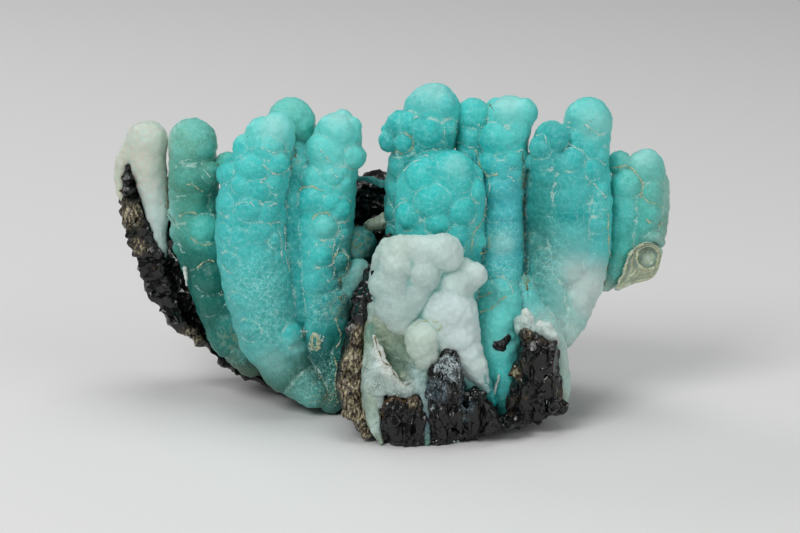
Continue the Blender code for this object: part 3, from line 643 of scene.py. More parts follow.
# Where the crust net is strong, the skin milky or stained with ochre, and where lobes stay faint:
# (u, h, y, radius)
growthZones = {
    "net": [
        (-20, 26, 0, 5.5), (-18, 20, 0, 4.5), (17, 26, 2, 5.0), (16.8, 33, 3, 3.4), (-8, 34, 4, 2.6),
        (-8, 30, 4, 2.4), (-8, 25, 4, 3.0), (-9, 12, 2, 4.5), (-12, 10, 0, 4.5), (-17.2, 32, 1, 2.6),
        (12.5, 34, 0, 2.0), (-24, 12, 5, 3.0), (24, 29, 4, 4.0), (32, 38, 4, 3.0), (-11, 22, 2, 3.0),
    ],
    "veil": [
        (28, 24, 3, 6.5), (26.5, 17, 0, 5.0), (-18, 50, 3, 3.2), (10, 45, -2, 3.4), (31, 51, 6, 3.6),
        (6, 56, 6, 4.6), (18, 54, 6, 3.6), (-8, 52, 6, 3.8), (17, 32, 2, 3.0), (-36, 36, 11, 6),
        (38.7, 45, 10, 3.6), (-14, 16, 0, 3.0), (-18, 14, 1, 4.0),
    ],
    "stain": [
        (20.6, 42, 5, 1.6), (20.9, 33, 4, 1.6), (21.2, 26, 3, 1.6), (-15.0, 45, 5, 1.6), (-5, 32, 6, 2.8),
        (-26.5, 42, 8, 1.8), (10.2, 49, 5, 1.4), (-34.5, 38, 11, 1.6), (-24.5, 17, 5, 3.0), (-8, 22, 3, 2.4),
    ],
}
calmZones = [
    (-19, 26, 1, 6.0), (-17, 18, 0, 6.0), (28, 24, 3, 7.5), (24, 24, 3, 5.0), (17, 32, 3, 5.0),
    (17, 39, 4, 3.5), (8, 20, -8, 8.0), (4, 28, -9, 7.0), (-10, 12, 3, 6.0), (28, 36, 4, 5.0),
    (-37, 45, 11, 6.0), (-36, 37, 11, 5.0), (-30.6, 48, 9, 4.5), (-8, 50, 5, 4.5), (6, 53, 5, 5.0),
    (30, 50, 6, 5.0), (28, 43, 4, 5.0), (18, 52, 5, 4.0), (38, 34, 9, 6.0), (12.6, 51, 7, 3.0),
]


def zoneShare(points, zones):
    share = np.zeros(len(points))
    for u, h, y, radius in zones:
        place, grow = onSheet(u, h, y)
        near = np.clip(1.2 - np.linalg.norm(points - np.array(place), axis=1) / (radius * grow), 0, 1)
        share = np.maximum(share, near * near * (3 - 2 * near))
    return share


# How far each point stands above the mean of its neighbourhood, in mm
def heightsOver(mesh, points, rounds):
    edges = np.empty(len(mesh.edges) * 2, np.int32)
    mesh.edges.foreach_get("vertices", edges)
    one, two = edges.reshape(-1, 2).T
    normals = np.empty(len(mesh.vertices) * 3, np.float32)
    mesh.vertices.foreach_get("normal", normals)
    count = len(points)
    ends = np.maximum(np.bincount(one, minlength=count) + np.bincount(two, minlength=count), 1)
    normals = normals.reshape(-1, 3)
    mean, heights = points.copy(), []
    for k in range(max(rounds)):
        for axis in range(3):
            line = mean[:, axis]
            near = np.bincount(one, line[two], count) + np.bincount(two, line[one], count)
            mean[:, axis] = near / ends
        if k + 1 in rounds:
            heights.append(((points - mean) * normals).sum(axis=1))
    return heights


def growPiece(name, layout, rule, seed):
    fingers = [limbOf(run, colors) for run, colors in layout["fingers"].values()]
    lobes = [limbOf([lobe]) for lobe in layout["lobes"]]
    blend = rule["blend"]
    studs, hits = placeStuds(layout["studs"], fingers, rule)
    taken = [(hit, stud[2]) for hit, stud in zip(hits, layout["studs"])]
    strewn = strewStuds(fingers, taken, rule, blend, seed)
    limbs = fingers + lobes + studs + strewn
    print(name, "has", len(studs), "placed and", len(strewn), "strewn lobes")
    piece = growSkin(name, limbs, layout["voxel"], blend)
    points = pointsOf(piece.data)
    _, _, lead, _ = measureSkin(points, limbs, blend)
    tint = tintOf(points, fingers)
    for stud, hit in zip(layout["studs"], hits):
        if len(stud) > 4:
            share = np.clip(1.6 - np.linalg.norm(points - hit, axis=1) / stud[2], 0, 1)[:, None]
            tint += share * (np.array(tints[stud[4]]) - tint)
    storeColor(piece.data, "tint", tint)
    storeNumber(piece.data, "seam", lead)
    heights = heightsOver(piece.data, points, (8, 50, 240))
    for word, height in zip(("crease", "crest", "valley"), heights):
        storeNumber(piece.data, word, height)
    for word, zones in growthZones.items():
        storeNumber(piece.data, word, zoneShare(points, zones))
    piece.data.shade_smooth()
    return piece


# Low domes and grain pushed out of a finished skin
def skinReliefTree():
    inputs = {
        "Dome Size": ("NodeSocketFloat", 1.1 * mm), "Dome Height": ("NodeSocketFloat", 0.1 * mm),
        "Grain Size": ("NodeSocketFloat", 0.45 * mm), "Grain Height": ("NodeSocketFloat", 0.03 * mm),
        "Skin": ("NodeSocketMaterial", None),
    }
    tree, given, out = newTree("skinRelief", inputs)
    place = put(tree, "GeometryNodeInputPosition").outputs[0]
    normal = put(tree, "GeometryNodeInputNormal").outputs[0]
    total = None
    for label in ("Dome", "Grain"):
        scale = calc(tree, "DIVIDE", 1.0, given.outputs[label + " Size"])
        cells = put(tree, "ShaderNodeTexVoronoi", {"Vector": place, "Scale": scale, "Smoothness": 0.35},
                    feature="SMOOTH_F1")
        dome = spread(tree, cells.outputs["Distance"], 0.15, 0.75, 1.0, -0.4)
        lift = calc(tree, "MULTIPLY", dome, given.outputs[label + " Height"])
        total = lift if total is None else calc(tree, "ADD", total, lift)
    push = put(tree, "ShaderNodeVectorMath", {0: normal}, operation="SCALE")
    tree.links.new(total, push.inputs["Scale"])
    moved = put(tree, "GeometryNodeSetPosition", {"Geometry": given.outputs[0], "Offset": push.outputs[0]})
    real = put(tree, "GeometryNodeRealizeInstances", {"Geometry": moved.outputs[0]})
    worn = put(tree, "GeometryNodeSetMaterial", {"Geometry": real.outputs[0]})
    tree.links.new(given.outputs["Skin"], worn.inputs["Material"])
    tree.links.new(worn.outputs[0], out.inputs[0])
    return tree


# Painted shade: the darker colour, its share and the hollow reach below pull the tint darker in hollows and valleys
blueGreenLook = {
    "deep": (0.0, 0.12, 0.12, 1), "deepShare": 0.7, "hollowReach": (-0.6, -2.0), "haze": (0.17, 0.76, 0.72, 1),
    "paleHaze": (0.60, 0.72, 0.69, 1), "crestHazeAndHighlight": 0.20, "patchHaze": 0.08, "veilHaze": 0.34, "netSize": 0.62, "netShare": 0.62,
    "netBase": 0.05, "netColor": (0.40, 0.80, 0.76, 1), "cellSize": 1.1, "cellHaze": 0.26,
    "cellLine": 0.62, "seamHazeAndSheen": 0.34, "crustWidth": 0.11, "crustShare": 0.85, "crustPale": (0.55, 0.78, 0.70, 1),
    "crustOchre": (0.22, 0.20, 0.05, 1), "speck": (0.01, 0.05, 0.05, 1), "rough": 0.38,
    "waxShare": 0.4, "waxReach": (0.15, 1.0, 0.95), "bloom": 0.11, "bloomTint": (0.3, 1.0, 0.9, 1),
}
# In the milky skin the painted shade in the hollows is a teal tint
milkyLook = {
    **blueGreenLook, "deep": (0.10, 0.40, 0.37, 1), "deepShare": 0.85, "hollowReach": (-0.3, -0.9), "haze": (0.66, 0.78, 0.75, 1),
    "paleHaze": (0.68, 0.78, 0.75, 1),
    "crestHazeAndHighlight": 0.40, "patchHaze": 0.12, "netShare": 0.2, "netBase": 0.04, "cellHaze": 0.12, "cellLine": 0.12, "seamHazeAndSheen": 0.3,
    "netColor": (0.75, 0.82, 0.76, 1), "crustShare": 0.25, "rough": 0.36, "waxShare": 0.5,
    "waxReach": (0.8, 1.0, 0.95), "bloom": 0.2, "bloomTint": (0.85, 1.0, 0.95, 1),
}


# The waxy skin: painted shade deepening the tint in the hollows, milky haze on the crests that is partly a painted
# highlight, pale seam rims that are partly a painted sheen, a fine pale net, broken crust along the seams and a few
# dark specks
def waxySkin(name, look):
    material = bpy.data.materials.new(name)
    material.use_nodes = True
    tree = material.node_tree
    shader = tree.nodes["Principled BSDF"]
    place = put(tree, "ShaderNodeTexCoord").outputs["Object"]
    color = put(tree, "ShaderNodeAttribute", attribute_name="tint").outputs["Color"]
    channels = put(tree, "ShaderNodeSeparateColor", {"Color": color})
    light = spread(tree, channels.outputs[1], 0.08, 0.42, 0.12, 1.0)
    seam, crest, crease, valley, net, veil, stain = (
        put(tree, "ShaderNodeAttribute", attribute_name=word).outputs["Fac"]
        for word in ("seam", "crest", "crease", "valley", "net", "veil", "stain"))
    cloud = noiseOf(tree, place, 3.4, 3.0)
    mottle = noiseOf(tree, place, 1.0, 4.0, 0.62)
    grain = noiseOf(tree, place, 0.24, 3.0, 0.6)
    brightness = calc(tree, "ADD", spread(tree, cloud, 0.3, 0.7, 0.90, 1.10), spread(tree, grain, 0.3, 0.7, -0.06, 0.06))
    scaled = put(tree, "ShaderNodeVectorMath", {0: color}, operation="SCALE")
    tree.links.new(brightness, scaled.inputs["Scale"])
    color = scaled.outputs[0]
    # Painted shade: the tint is pulled towards a darker colour over hollows and valleys
    dip, drop = look["hollowReach"]
    hollow = calc(tree, "MAXIMUM", spread(tree, crest, 0.0, dip, 0.0, 0.8), spread(tree, valley, 0.1, drop, 0.0, 0.85))
    color = blendColor(tree, calc(tree, "MULTIPLY", hollow, look["deepShare"]), color, look["deep"])
    # Milky haze on the crests, partly a painted highlight on the lit tops of the lobes
    haze = calc(tree, "MULTIPLY", spread(tree, crest, 0.05, 0.55), look["crestHazeAndHighlight"])
    patch = calc(tree, "MULTIPLY", spread(tree, mottle, 0.44, 0.66), look["patchHaze"])
    haze = calc(tree, "ADD", haze, calc(tree, "MULTIPLY", patch, calc(tree, "SUBTRACT", 1.0, hollow)))
    # Pale rims along the lobe seams: partly milky skin, partly a painted sheen of the coat seen edge-on
    rim = calc(tree, "MULTIPLY", spread(tree, seam, 0.0, 1.0, 1.0, 0.0), look["seamHazeAndSheen"])
    rim = calc(tree, "MULTIPLY", rim, spread(tree, crest, -0.5, 0.1))
    haze = calc(tree, "MULTIPLY", calc(tree, "ADD", haze, rim), light)
    haze = calc(tree, "ADD", haze, calc(tree, "MULTIPLY", veil, look["veilHaze"]))
    haze = calc(tree, "MINIMUM", calc(tree, "MULTIPLY", haze, spread(tree, grain, 0.25, 0.7, 0.75, 1.2)), 0.85)
    pallor = calc(tree, "MAXIMUM", spread(tree, channels.outputs[0], 0.1, 0.34), calc(tree, "MULTIPLY", veil, 0.4))
    milky = blendColor(tree, pallor, look["haze"], look["paleHaze"])
    color = blendColor(tree, haze, color, milky)
    warp = put(tree, "ShaderNodeTexNoise", {"Vector": place, "Scale": 1.0 / (0.9 * mm), "Detail": 2.0})
    bent = put(tree, "ShaderNodeVectorMath", {0: warp.outputs["Color"], 1: (0.5 * mm,) * 3, 2: place},
               operation="MULTIPLY_ADD")
    cells = put(tree, "ShaderNodeTexVoronoi", {"Vector": bent.outputs[0], "Scale": 1.0 / (look["netSize"] * mm)},
                feature="DISTANCE_TO_EDGE")
    line = spread(tree, cells.outputs["Distance"], 0.01, 0.12, 1.0, 0.0)
    wide = {"Vector": bent.outputs[0], "Scale": 1.0 / (look["cellSize"] * mm)}
    broad = put(tree, "ShaderNodeTexVoronoi", wide, feature="DISTANCE_TO_EDGE")
    cellShare = calc(tree, "MULTIPLY", calc(tree, "MULTIPLY_ADD", net, 0.7, 0.5), light)
    milkyEdge = calc(tree, "MULTIPLY", spread(tree, broad.outputs["Distance"], 0.0, 0.34, 1.0, 0.0), look["cellHaze"])
    color = blendColor(tree, calc(tree, "MULTIPLY", milkyEdge, cellShare), color, milky)
    thread = calc(tree, "MULTIPLY", spread(tree, broad.outputs["Distance"], 0.02, 0.1, 1.0, 0.0), look["cellLine"])
    thread = calc(tree, "MULTIPLY", thread, spread(tree, noiseOf(tree, place, 0.42, 3.0, 0.6), 0.48, 0.6))
    color = blendColor(tree, calc(tree, "MULTIPLY", thread, cellShare), color, look["netColor"])
    netShare = calc(tree, "MULTIPLY_ADD", net, look["netShare"], look["netBase"])
    line = calc(tree, "MULTIPLY", line, calc(tree, "MULTIPLY", netShare, spread(tree, mottle, 0.42, 0.58)))
    dots = put(tree, "ShaderNodeTexVoronoi", {"Vector": place, "Scale": 1.0 / (0.75 * mm)}, feature="F1")
    pick = put(tree, "ShaderNodeSeparateColor", {"Color": dots.outputs["Color"]})
    dot = calc(tree, "MULTIPLY", spread(tree, dots.outputs["Distance"], 0.06, 0.15, 1.0, 0.0),
               calc(tree, "GREATER_THAN", pick.outputs[0], 0.72))
    pale = calc(tree, "MAXIMUM", line, calc(tree, "MULTIPLY", dot, 0.5))
    color = blendColor(tree, pale, color, look["netColor"])
    ragged = calc(tree, "ADD", seam, spread(tree, grain, 0.25, 0.75, -0.08, 0.10))
    crust = spread(tree, ragged, 0.02, look["crustWidth"], 1.0, 0.0)
    crust = calc(tree, "MULTIPLY", crust, spread(tree, crease, -0.002, -0.03))
    crust = calc(tree, "MULTIPLY", crust, spread(tree, noiseOf(tree, place, 1.6, 4.0, 0.6), 0.42, 0.56))
    crust = calc(tree, "MULTIPLY", crust, look["crustShare"])
    ochre = calc(tree, "MULTIPLY", stain, spread(tree, noiseOf(tree, place, 0.7, 3.0), 0.45, 0.6))
    crustColor = blendColor(tree, ochre, look["crustPale"], look["crustOchre"])
    color = blendColor(tree, calc(tree, "MAXIMUM", crust, calc(tree, "MULTIPLY", ochre, 0.6)), color, crustColor)
    specks = put(tree, "ShaderNodeTexVoronoi", {"Vector": place, "Scale": 1.0 / (1.6 * mm)}, feature="F1")
    rare = put(tree, "ShaderNodeSeparateColor", {"Color": specks.outputs["Color"]}).outputs[1]
    speck = calc(tree, "MULTIPLY", spread(tree, specks.outputs["Distance"], 0.05, 0.09, 1.0, 0.0),
                 calc(tree, "GREATER_THAN", rare, 0.965))
    color = blendColor(tree, calc(tree, "MULTIPLY", speck, 0.8), color, look["speck"])
    tree.links.new(color, shader.inputs["Base Color"])
    chalk = calc(tree, "MAXIMUM", crust, line)
    rough = calc(tree, "MULTIPLY_ADD", chalk, 0.3, spread(tree, mottle, 0.3, 0.7, look["rough"] - 0.06, look["rough"] + 0.08))
    tree.links.new(rough, shader.inputs["Roughness"])
    height = calc(tree, "MULTIPLY_ADD", grain, 0.45, calc(tree, "MULTIPLY", mottle, 0.6))
    height = calc(tree, "MULTIPLY_ADD", chalk, 0.6, height)
    dome = calc(tree, "MULTIPLY", spread(tree, cells.outputs["Distance"], 0.0, 0.4), calc(tree, "MULTIPLY_ADD", net, 0.6, 0.15))
    height = calc(tree, "ADD", height, dome)
    bump = put(tree, "ShaderNodeBump", {"Strength": 0.5, "Distance": 0.1 * mm, "Height": height})
    tree.links.new(bump.outputs[0], shader.inputs["Normal"])
    shader.inputs["Subsurface Weight"].default_value = look["waxShare"]
    shader.inputs["Subsurface Radius"].default_value = look["waxReach"]
    shader.inputs["Subsurface Scale"].default_value = 1.2 * mm
    shader.inputs["Specular IOR Level"].default_value = 0.2
    shader.inputs["Sheen Weight"].default_value = look["bloom"]
    shader.inputs["Sheen Roughness"].default_value = 0.3
    shader.inputs["Sheen Tint"].default_value = look["bloomTint"]
    shader.inputs["Coat Weight"].default_value = 0.05
    shader.inputs["Coat Roughness"].default_value = 0.25
    return material


def dressPiece(piece, node):
    if node:
        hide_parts(node)
    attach(piece, "root")
    print(piece.name, "done,", len(piece.data.polygons), "faces")


blueGreenSkin = waxySkin("blueGreenSkin", blueGreenLook)
milkySkin = waxySkin("milkyQuartzSkin", milkyLook)
reliefTree = skinReliefTree()
leftPiece = growPiece("leftFingerSheaf", leftSheaf, growthRule, 11)
rightPiece = growPiece("rightFingerSheaf", rightSheaf, growthRule, 12)
palePiece = growPiece("milkyQuartzGrowth", paleGrowth, paleRule, 13)
for piece, skin, node, slot in (
        (leftPiece, blueGreenSkin, "left_fingers", "chrysocolla"),
        (rightPiece, blueGreenSkin, "right_fingers", "chrysocolla"),
        (palePiece, milkySkin, "front_quartz", "milky_quartz")):
    runTree(piece, reliefTree, {"Skin": skin})
    keepAboveFloor(piece)
    dressPiece(piece, node)


# The host rock: an upcurved rind on the left, a fin, crags at the front and a heap behind
hostRock = {
    "bodyVoxel": 0.42, "frontVoxel": 0.24, "cragFace": 0.62, "cuts": 22, "bodyCut": 1.4, "frontCut": 0.45,
    "shellEdge": [
        (-40.9, 43.6), (-41.7, 39.4), (-41.5, 35.4), (-40.7, 32.4), (-39.2, 28.8), (-37.2, 23.6),
        (-33.9, 18.9), (-28.8, 15.6), (-23.4, 11.4), (-18.6, 9.4), (-13.0, 8.6),
    ],
    "shellHalves": [0.45, 1.3, 2.0, 2.2, 2.2, 2.1, 1.2, 0.8, 0.8, 0.9, 0.9], "shellDepth": 13.2, "shellFront": 10.8,
    "fin": [
        (-0.7, 30.0, -6.6, 0.35), (-1.5, 27.4, -6.8, 0.8), (-2.7, 25.0, -6.8, 1.2), (-3.6, 22.6, -7.2, 1.3),
        (-4.4, 20.4, -7.6, 1.2), (-5.0, 17.4, -8.0, 1.4), (-5.5, 14.6, -8.4, 1.5), (-5.9, 12.2, -9.2, 1.9),
        (-6.1, 9.0, -10.2, 2.05), (-5.9, 6.4, -11.0, 1.8), (-5.0, 4.4, -12.0, 1.1), (-4.0, 2.6, -12.6, 0.5),
    ],
    "finDepth": 11.0,
    # outline (u, h), depth of the front edge, depth, bulge
    "frontCrags": {
        "leftHump": ([
            (-1.4, 7.0), (-1.2, 7.7), (0.3, 8.2), (1.3, 8.2), (1.9, 7.7), (2.4, 4.0), (2.2, 0.4), (1.6, 0.1),
            (-0.9, 1.5), (-1.4, 4.2)], -13.8, 6, 0.5),
        "rightHump": ([
            (1.9, 7.6), (2.7, 8.3), (4.0, 8.3), (4.8, 7.8), (4.8, 5.4), (5.3, 2.9), (5.4, 0.9), (1.9, 0.0), (1.7, 4.0)],
            -13.9, 6, 0.5),
        "drusePeak": ([
            (7.2, 13.8), (8.6, 15.0), (10.1, 14.7), (10.9, 13.0), (10.6, 8.0), (7.0, 8.0), (5.1, 9.6), (6.1, 10.8)],
            -13.0, 6, 0.5),
        "darkColumn": ([
            (5.1, 9.6), (7.4, 10.6), (9.4, 10.4), (9.6, 4.0), (8.4, 0.8), (6.2, 0.7), (6.0, 4.0), (5.9, 7.0)],
            -13.5, 6, 0.5),
        "bladeCrag": ([
            (8.4, 9.0), (9.8, 11.0), (10.8, 11.2), (11.3, 8.0), (11.6, 4.2), (10.4, 1.8), (9.2, 3.0)], -13.3, 6, 0.4),
        "blackWedge": ([
            (12.9, 9.4), (13.6, 9.7), (14.2, 8.2), (15.0, 7.0), (16.4, 5.3), (17.0, 3.8), (16.4, 3.0), (13.0, 3.0),
            (11.0, 2.0), (11.4, 6.4), (12.0, 8.6)], -12.4, 6, 0.5),
        "baseSill": ([
            (7.4, 1.6), (10.9, 4.0), (16.8, 4.4), (20.9, 4.4), (20.9, 3.9), (16.6, 3.1), (13.2, 2.9), (10.8, 1.8), (8.6, 0.8)],
            -11.4, 6, 0.5),
        "rightCrag": ([
            (20.0, 17.2), (22.2, 17.8), (24.8, 17.2), (25.5, 15.8), (25.7, 12.0), (25.9, 10.4), (26.5, 9.0),
            (26.6, 6.0), (22.8, 4.2), (19.6, 4.0), (19.4, 8.0), (19.6, 13.0)], -7.2, 6, 1.3),
        "sideKnob": ([(18.4, 11.6), (18.9, 12.9), (20.2, 13.4), (20.8, 11.0), (19.4, 10.6)], -7.5, 5, 0.5),
        "leftFoot": ([
            (17.6, 8.0), (18.4, 9.4), (19.6, 11.2), (21.0, 10.6), (21.4, 4.6), (19.2, 3.9), (17.6, 3.6), (17.7, 6.4)],
            -7.5, 6, 0.6),
        "inclusion": ([
            (15.3, 15.8), (15.7, 16.8), (17.0, 17.0), (18.4, 17.8), (18.7, 17.0), (18.4, 16.1), (17.4, 14.9), (16.2, 15.2)],
            -5.7, 5, 0.1),
    },
    "knob": (21.0, 18.0, -7.0, 1.1), "calmZones": [(17.0, 16.5, -5.7, 2.2)], "calmShare": 0.85,
    # outline (x, z), front y, depth, bulge
    "baseCrags": [
        ([(-4.5, 3.0), (-1.0, -1.0), (9.5, -1.0), (16.5, 1.8), (17.5, 7.0), (-5.0, 9.0)],
         -11.5, 16, 1.5),
        ([(12.0, 1.0), (25.6, 4.4), (25.0, 9.0), (12.0, 11.0)], -4.5, 12, 1.0),
        ([(-7.0, 4.0), (-4.0, -1.0), (18.0, -1.0), (22.0, 8.0), (18.0, 20.0), (-6.0, 20.0)],
         0.0, 17, 1.0),
        ([(9.0, -1.0), (21.5, -1.0), (23.0, 12.0), (9.0, 12.0)], 7.5, 15, 1.0),
        ([(-15.0, -1.0), (-4.0, -1.0), (-4.0, 10.0), (-17.0, 7.0)], 13.5, 10, 1.0),
        ([(-42, 36), (-42, 27), (-36.5, 15.5), (-28, 10), (-25, 24), (-29, 31)], 14.0, 8.0, 1.0),
        ([(-31, 30), (-31, 14), (-24, 7), (-16, 4), (-13, 30), (-20, 32)], 15.0, 8.5, 1.6),
        ([(-20, 30), (-20, 6), (-13, 0), (-6, 0), (-5, 34), (-11, 34)], 15.0, 9.5, 1.0),
        ([(-8, 33), (-8, 0), (4, 0), (4, 34), (-1, 34.6)], 14.5, 10.0, 1.5),
        ([(1, 33), (1, 0), (13, 0), (14, 34), (7, 35.5)], 14.0, 12.0, 1.4),
        ([(11, 33), (11, 0), (21, 0), (24, 10), (27, 22), (26, 34), (18, 35)], 14.0, 10.0, 1.2),
        ([(22, 32), (22, 16), (26, 19), (31, 31)], 13.5, 8.0, 1.0),
    ],
}


# The convex block round the points, its corners knocked off by flat breaks
def addBroken(shape, points, dice, deepest):
    block = bmesh.new()
    for k in range(hostRock["cuts"] + 1):
        block.clear()
        verts = [block.verts.new(point) for point in points]
        made = bmesh.ops.convex_hull(block, input=verts)
        loose = {item for item in made["geom_interior"] if isinstance(item, bmesh.types.BMVert)}
        bmesh.ops.delete(block, geom=list(loose), context="VERTS")
        if k == hostRock["cuts"]:
            break
        way = Vector((dice.gauss(0, 0.9), dice.gauss(-0.9, 0.8), dice.gauss(0, 0.7))).normalized()
        spans = [way.dot(vert.co) for vert in block.verts]
        cut = way * (max(spans) - dice.uniform(0.1, 1.0) * min(deepest, 0.35 * (max(spans) - min(spans))))
        whole = block.verts[:] + block.edges[:] + block.faces[:]
        bmesh.ops.bisect_plane(block, geom=whole, plane_co=cut, plane_no=way, clear_outer=True)
        points = [vert.co.copy() for vert in block.verts]
    mesh = bpy.data.meshes.new("block")
    block.to_mesh(mesh)
    block.free()
    shape.from_mesh(mesh)
    bpy.data.meshes.remove(mesh)


def addCrag(shape, outline, depth, bulge, dice, deepest):
    middle = sum(outline, Vector()) / len(outline)
    back = Vector((0, depth, 0))
    hull = [point for rim in outline for point in (rim, rim + back)]
    for rim in outline:
        inner = middle.lerp(rim, hostRock["cragFace"])
        hull += [inner - Vector((0, bulge, 0)), inner + back + Vector((0, bulge, 0))]
    addBroken(shape, hull, dice, deepest)


# A slab from top to foot with half its width at each end, on the line or inward of it
def addSlab(shape, top, foot, wide, narrow, inward, depth, dice, deepest):
    along = (foot - top).normalized()
    across = Vector((-along.z, 0, along.x))
    hull = []
    for end, half in ((top - along * 0.7, wide), (foot + along * 0.7, narrow)):
        for side in (-1, 1):
            for back in (0.0, depth):
                hull.append(end + across * half * (side + inward) + Vector((0, back, 0)))
    addBroken(shape, hull, dice, deepest)


def onSheetRow(outline, depth):
    return [onSheet(u, h, depth)[0] for u, h in outline]


def addRockBody(shape):
    dice = random.Random(7)
    edge = onSheetRow(hostRock["shellEdge"], hostRock["shellFront"])
    halves = hostRock["shellHalves"]
    for upper, lower, wide, narrow in zip(edge, edge[1:], halves, halves[1:]):
        addSlab(shape, upper, lower, wide, narrow, 1.0, hostRock["shellDepth"], dice, hostRock["frontCut"])
    for outline, front, depth, bulge in hostRock["baseCrags"]:
        rims = [Vector((x, front, z)) + elevation["standShift"] for x, z in outline]
        addCrag(shape, rims, depth, bulge, dice, hostRock["bodyCut"])


def addFrontRock(shape):
    dice = random.Random(8)
    for upper, lower in zip(hostRock["fin"], hostRock["fin"][1:]):
        top, foot = onSheet(*upper[:3])[0], onSheet(*lower[:3])[0]
        addSlab(shape, top, foot, upper[3], lower[3], 0.0, hostRock["finDepth"], dice, 0.5)
    for outline, front, depth, bulge in hostRock["frontCrags"].values():
        addCrag(shape, onSheetRow(outline, front), depth, bulge, dice, hostRock["frontCut"])
    u, h, y, radius = hostRock["knob"]
    made = bmesh.ops.create_icosphere(shape, subdivisions=2, radius=radius)["verts"]
    bmesh.ops.translate(shape, verts=made, vec=onSheet(u, h, y)[0])


def skinOver(name, build, voxel, smoothing):
    shape = bmesh.new()
    build(shape)
    bmesh.ops.scale(shape, verts=shape.verts, vec=(mm, mm, mm))
    mesh = bpy.data.meshes.new(name)
    shape.to_mesh(mesh)
    shape.free()
    piece = newPiece(name, mesh)
    remesh = piece.modifiers.new("oneSkin", "REMESH")
    remesh.mode = "VOXEL"
    remesh.voxel_size = voxel * 1.0 * mm
    smooth = piece.modifiers.new("soften", "SMOOTH")
    smooth.iterations = smoothing
    return settle(piece)


# Broken surface: flat breaks tilted at random, over two sizes, and a grain; the stretch runs along z
def rockReliefTree():
    inputs = {"Rock": ("NodeSocketMaterial", None), "Stretch": ("NodeSocketFloat", 1.0),
              "Grain Size": ("NodeSocketFloat", 0.7 * mm), "Grain Height": ("NodeSocketFloat", 0.1 * mm)}
    for label, size, tilt in (("Coarse", 3.0, 0.7), ("Middle", 1.4, 0.6)):
        inputs[label + " Size"] = ("NodeSocketFloat", size * mm)
        inputs[label + " Tilt"] = ("NodeSocketFloat", tilt)
    tree, given, out = newTree("rockRelief", inputs)
    place = put(tree, "GeometryNodeInputPosition").outputs[0]
    normal = put(tree, "GeometryNodeInputNormal").outputs[0]
    stretch = put(tree, "ShaderNodeCombineXYZ", {0: 1.0, 1: 1.0, 2: calc(tree, "DIVIDE", 1.0, given.outputs["Stretch"])})
    long = put(tree, "ShaderNodeVectorMath", {0: place, 1: stretch.outputs[0]}, operation="MULTIPLY").outputs[0]
    grainScale = calc(tree, "DIVIDE", 1.0, given.outputs["Grain Size"])
    grain = put(tree, "ShaderNodeTexNoise", {"Vector": place, "Scale": grainScale, "Detail": 3.0, "Roughness": 0.6})
    total = calc(tree, "MULTIPLY", calc(tree, "SUBTRACT", grain.outputs[0], 0.5), given.outputs["Grain Height"])
    for label in ("Coarse", "Middle"):
        scale = calc(tree, "DIVIDE", 1.0, given.outputs[label + " Size"])
        cells = put(tree, "ShaderNodeTexVoronoi", {"Vector": long, "Scale": scale, "Smoothness": 0.3}, feature="SMOOTH_F1")
        lean = put(tree, "ShaderNodeVectorMath", {0: cells.outputs["Color"], 1: (0.5,) * 3}, operation="SUBTRACT")
        off = put(tree, "ShaderNodeVectorMath", {0: long, 1: cells.outputs["Position"]}, operation="SUBTRACT")
        slope = put(tree, "ShaderNodeVectorMath", {0: off.outputs[0], 1: lean.outputs[0]}, operation="DOT_PRODUCT")
        total = calc(tree, "MULTIPLY_ADD", slope.outputs["Value"], given.outputs[label + " Tilt"], total)
    calm = put(tree, "GeometryNodeInputNamedAttribute", {"Name": "calm"}, data_type="FLOAT").outputs[0]
    total = calc(tree, "MULTIPLY", total, calc(tree, "SUBTRACT", 1.0, calm))
    push = put(tree, "ShaderNodeVectorMath", {0: normal}, operation="SCALE")
    tree.links.new(total, push.inputs["Scale"])
    moved = put(tree, "GeometryNodeSetPosition", {"Geometry": given.outputs[0], "Offset": push.outputs[0]})
    real = put(tree, "GeometryNodeRealizeInstances", {"Geometry": moved.outputs[0]})
    worn = put(tree, "GeometryNodeSetMaterial", {"Geometry": real.outputs[0]})
    tree.links.new(given.outputs["Rock"], worn.inputs["Material"])
    tree.links.new(worn.outputs[0], out.inputs[0])
    return tree


rockLook = {
    "black": (0.004, 0.0045, 0.004, 1), "brown": (0.10, 0.068, 0.038, 1),
    "grey": (0.52, 0.48, 0.30, 1), "druse": (0.36, 0.43, 0.45, 1), "rim": (0.10, 0.055, 0.020, 1),
    "rimWidth": 0.3, "slate": (0.11, 0.16, 0.19, 1),
}
rockZones = {  # (u, h, y, radius)
    "slate": [(7.0, 9.4, -13.6, 2.3), (5.4, 10.6, -12.6, 1.6), (11.9, 10.4, -13, 1.7), (11.8, 7.4, -13, 1.5),
              (11.4, 13.0, -12.4, 1.2), (12.6, 11.4, -12, 1.2), (11.4, 5.0, -13, 0.9)],
    "brown": [(-40.3, 36.5, 11, 2.4), (-38.8, 31.5, 11, 1.6), (-5.8, 14.0, -8, 3.0), (-6.2, 9.5, -9.5, 3.4),
              (-5.6, 6.0, -11, 3.2), (-4.4, 3.2, -12, 2.0), (20.9, 18.3, -7, 1.4), (-5.0, 18.0, -7.6, 1.8),
              (-31, 17, 11, 2.0), (19.0, 12.0, -7, 1.2), (3.4, 7.6, -14, 1.0)],
    "druse": [(8.6, 13.4, -13.4, 2.5), (9.4, 11.4, -13.6, 1.5), (6.4, 6.6, -13.9, 0.7), (11.9, 9.0, -13, 0.8)],
}


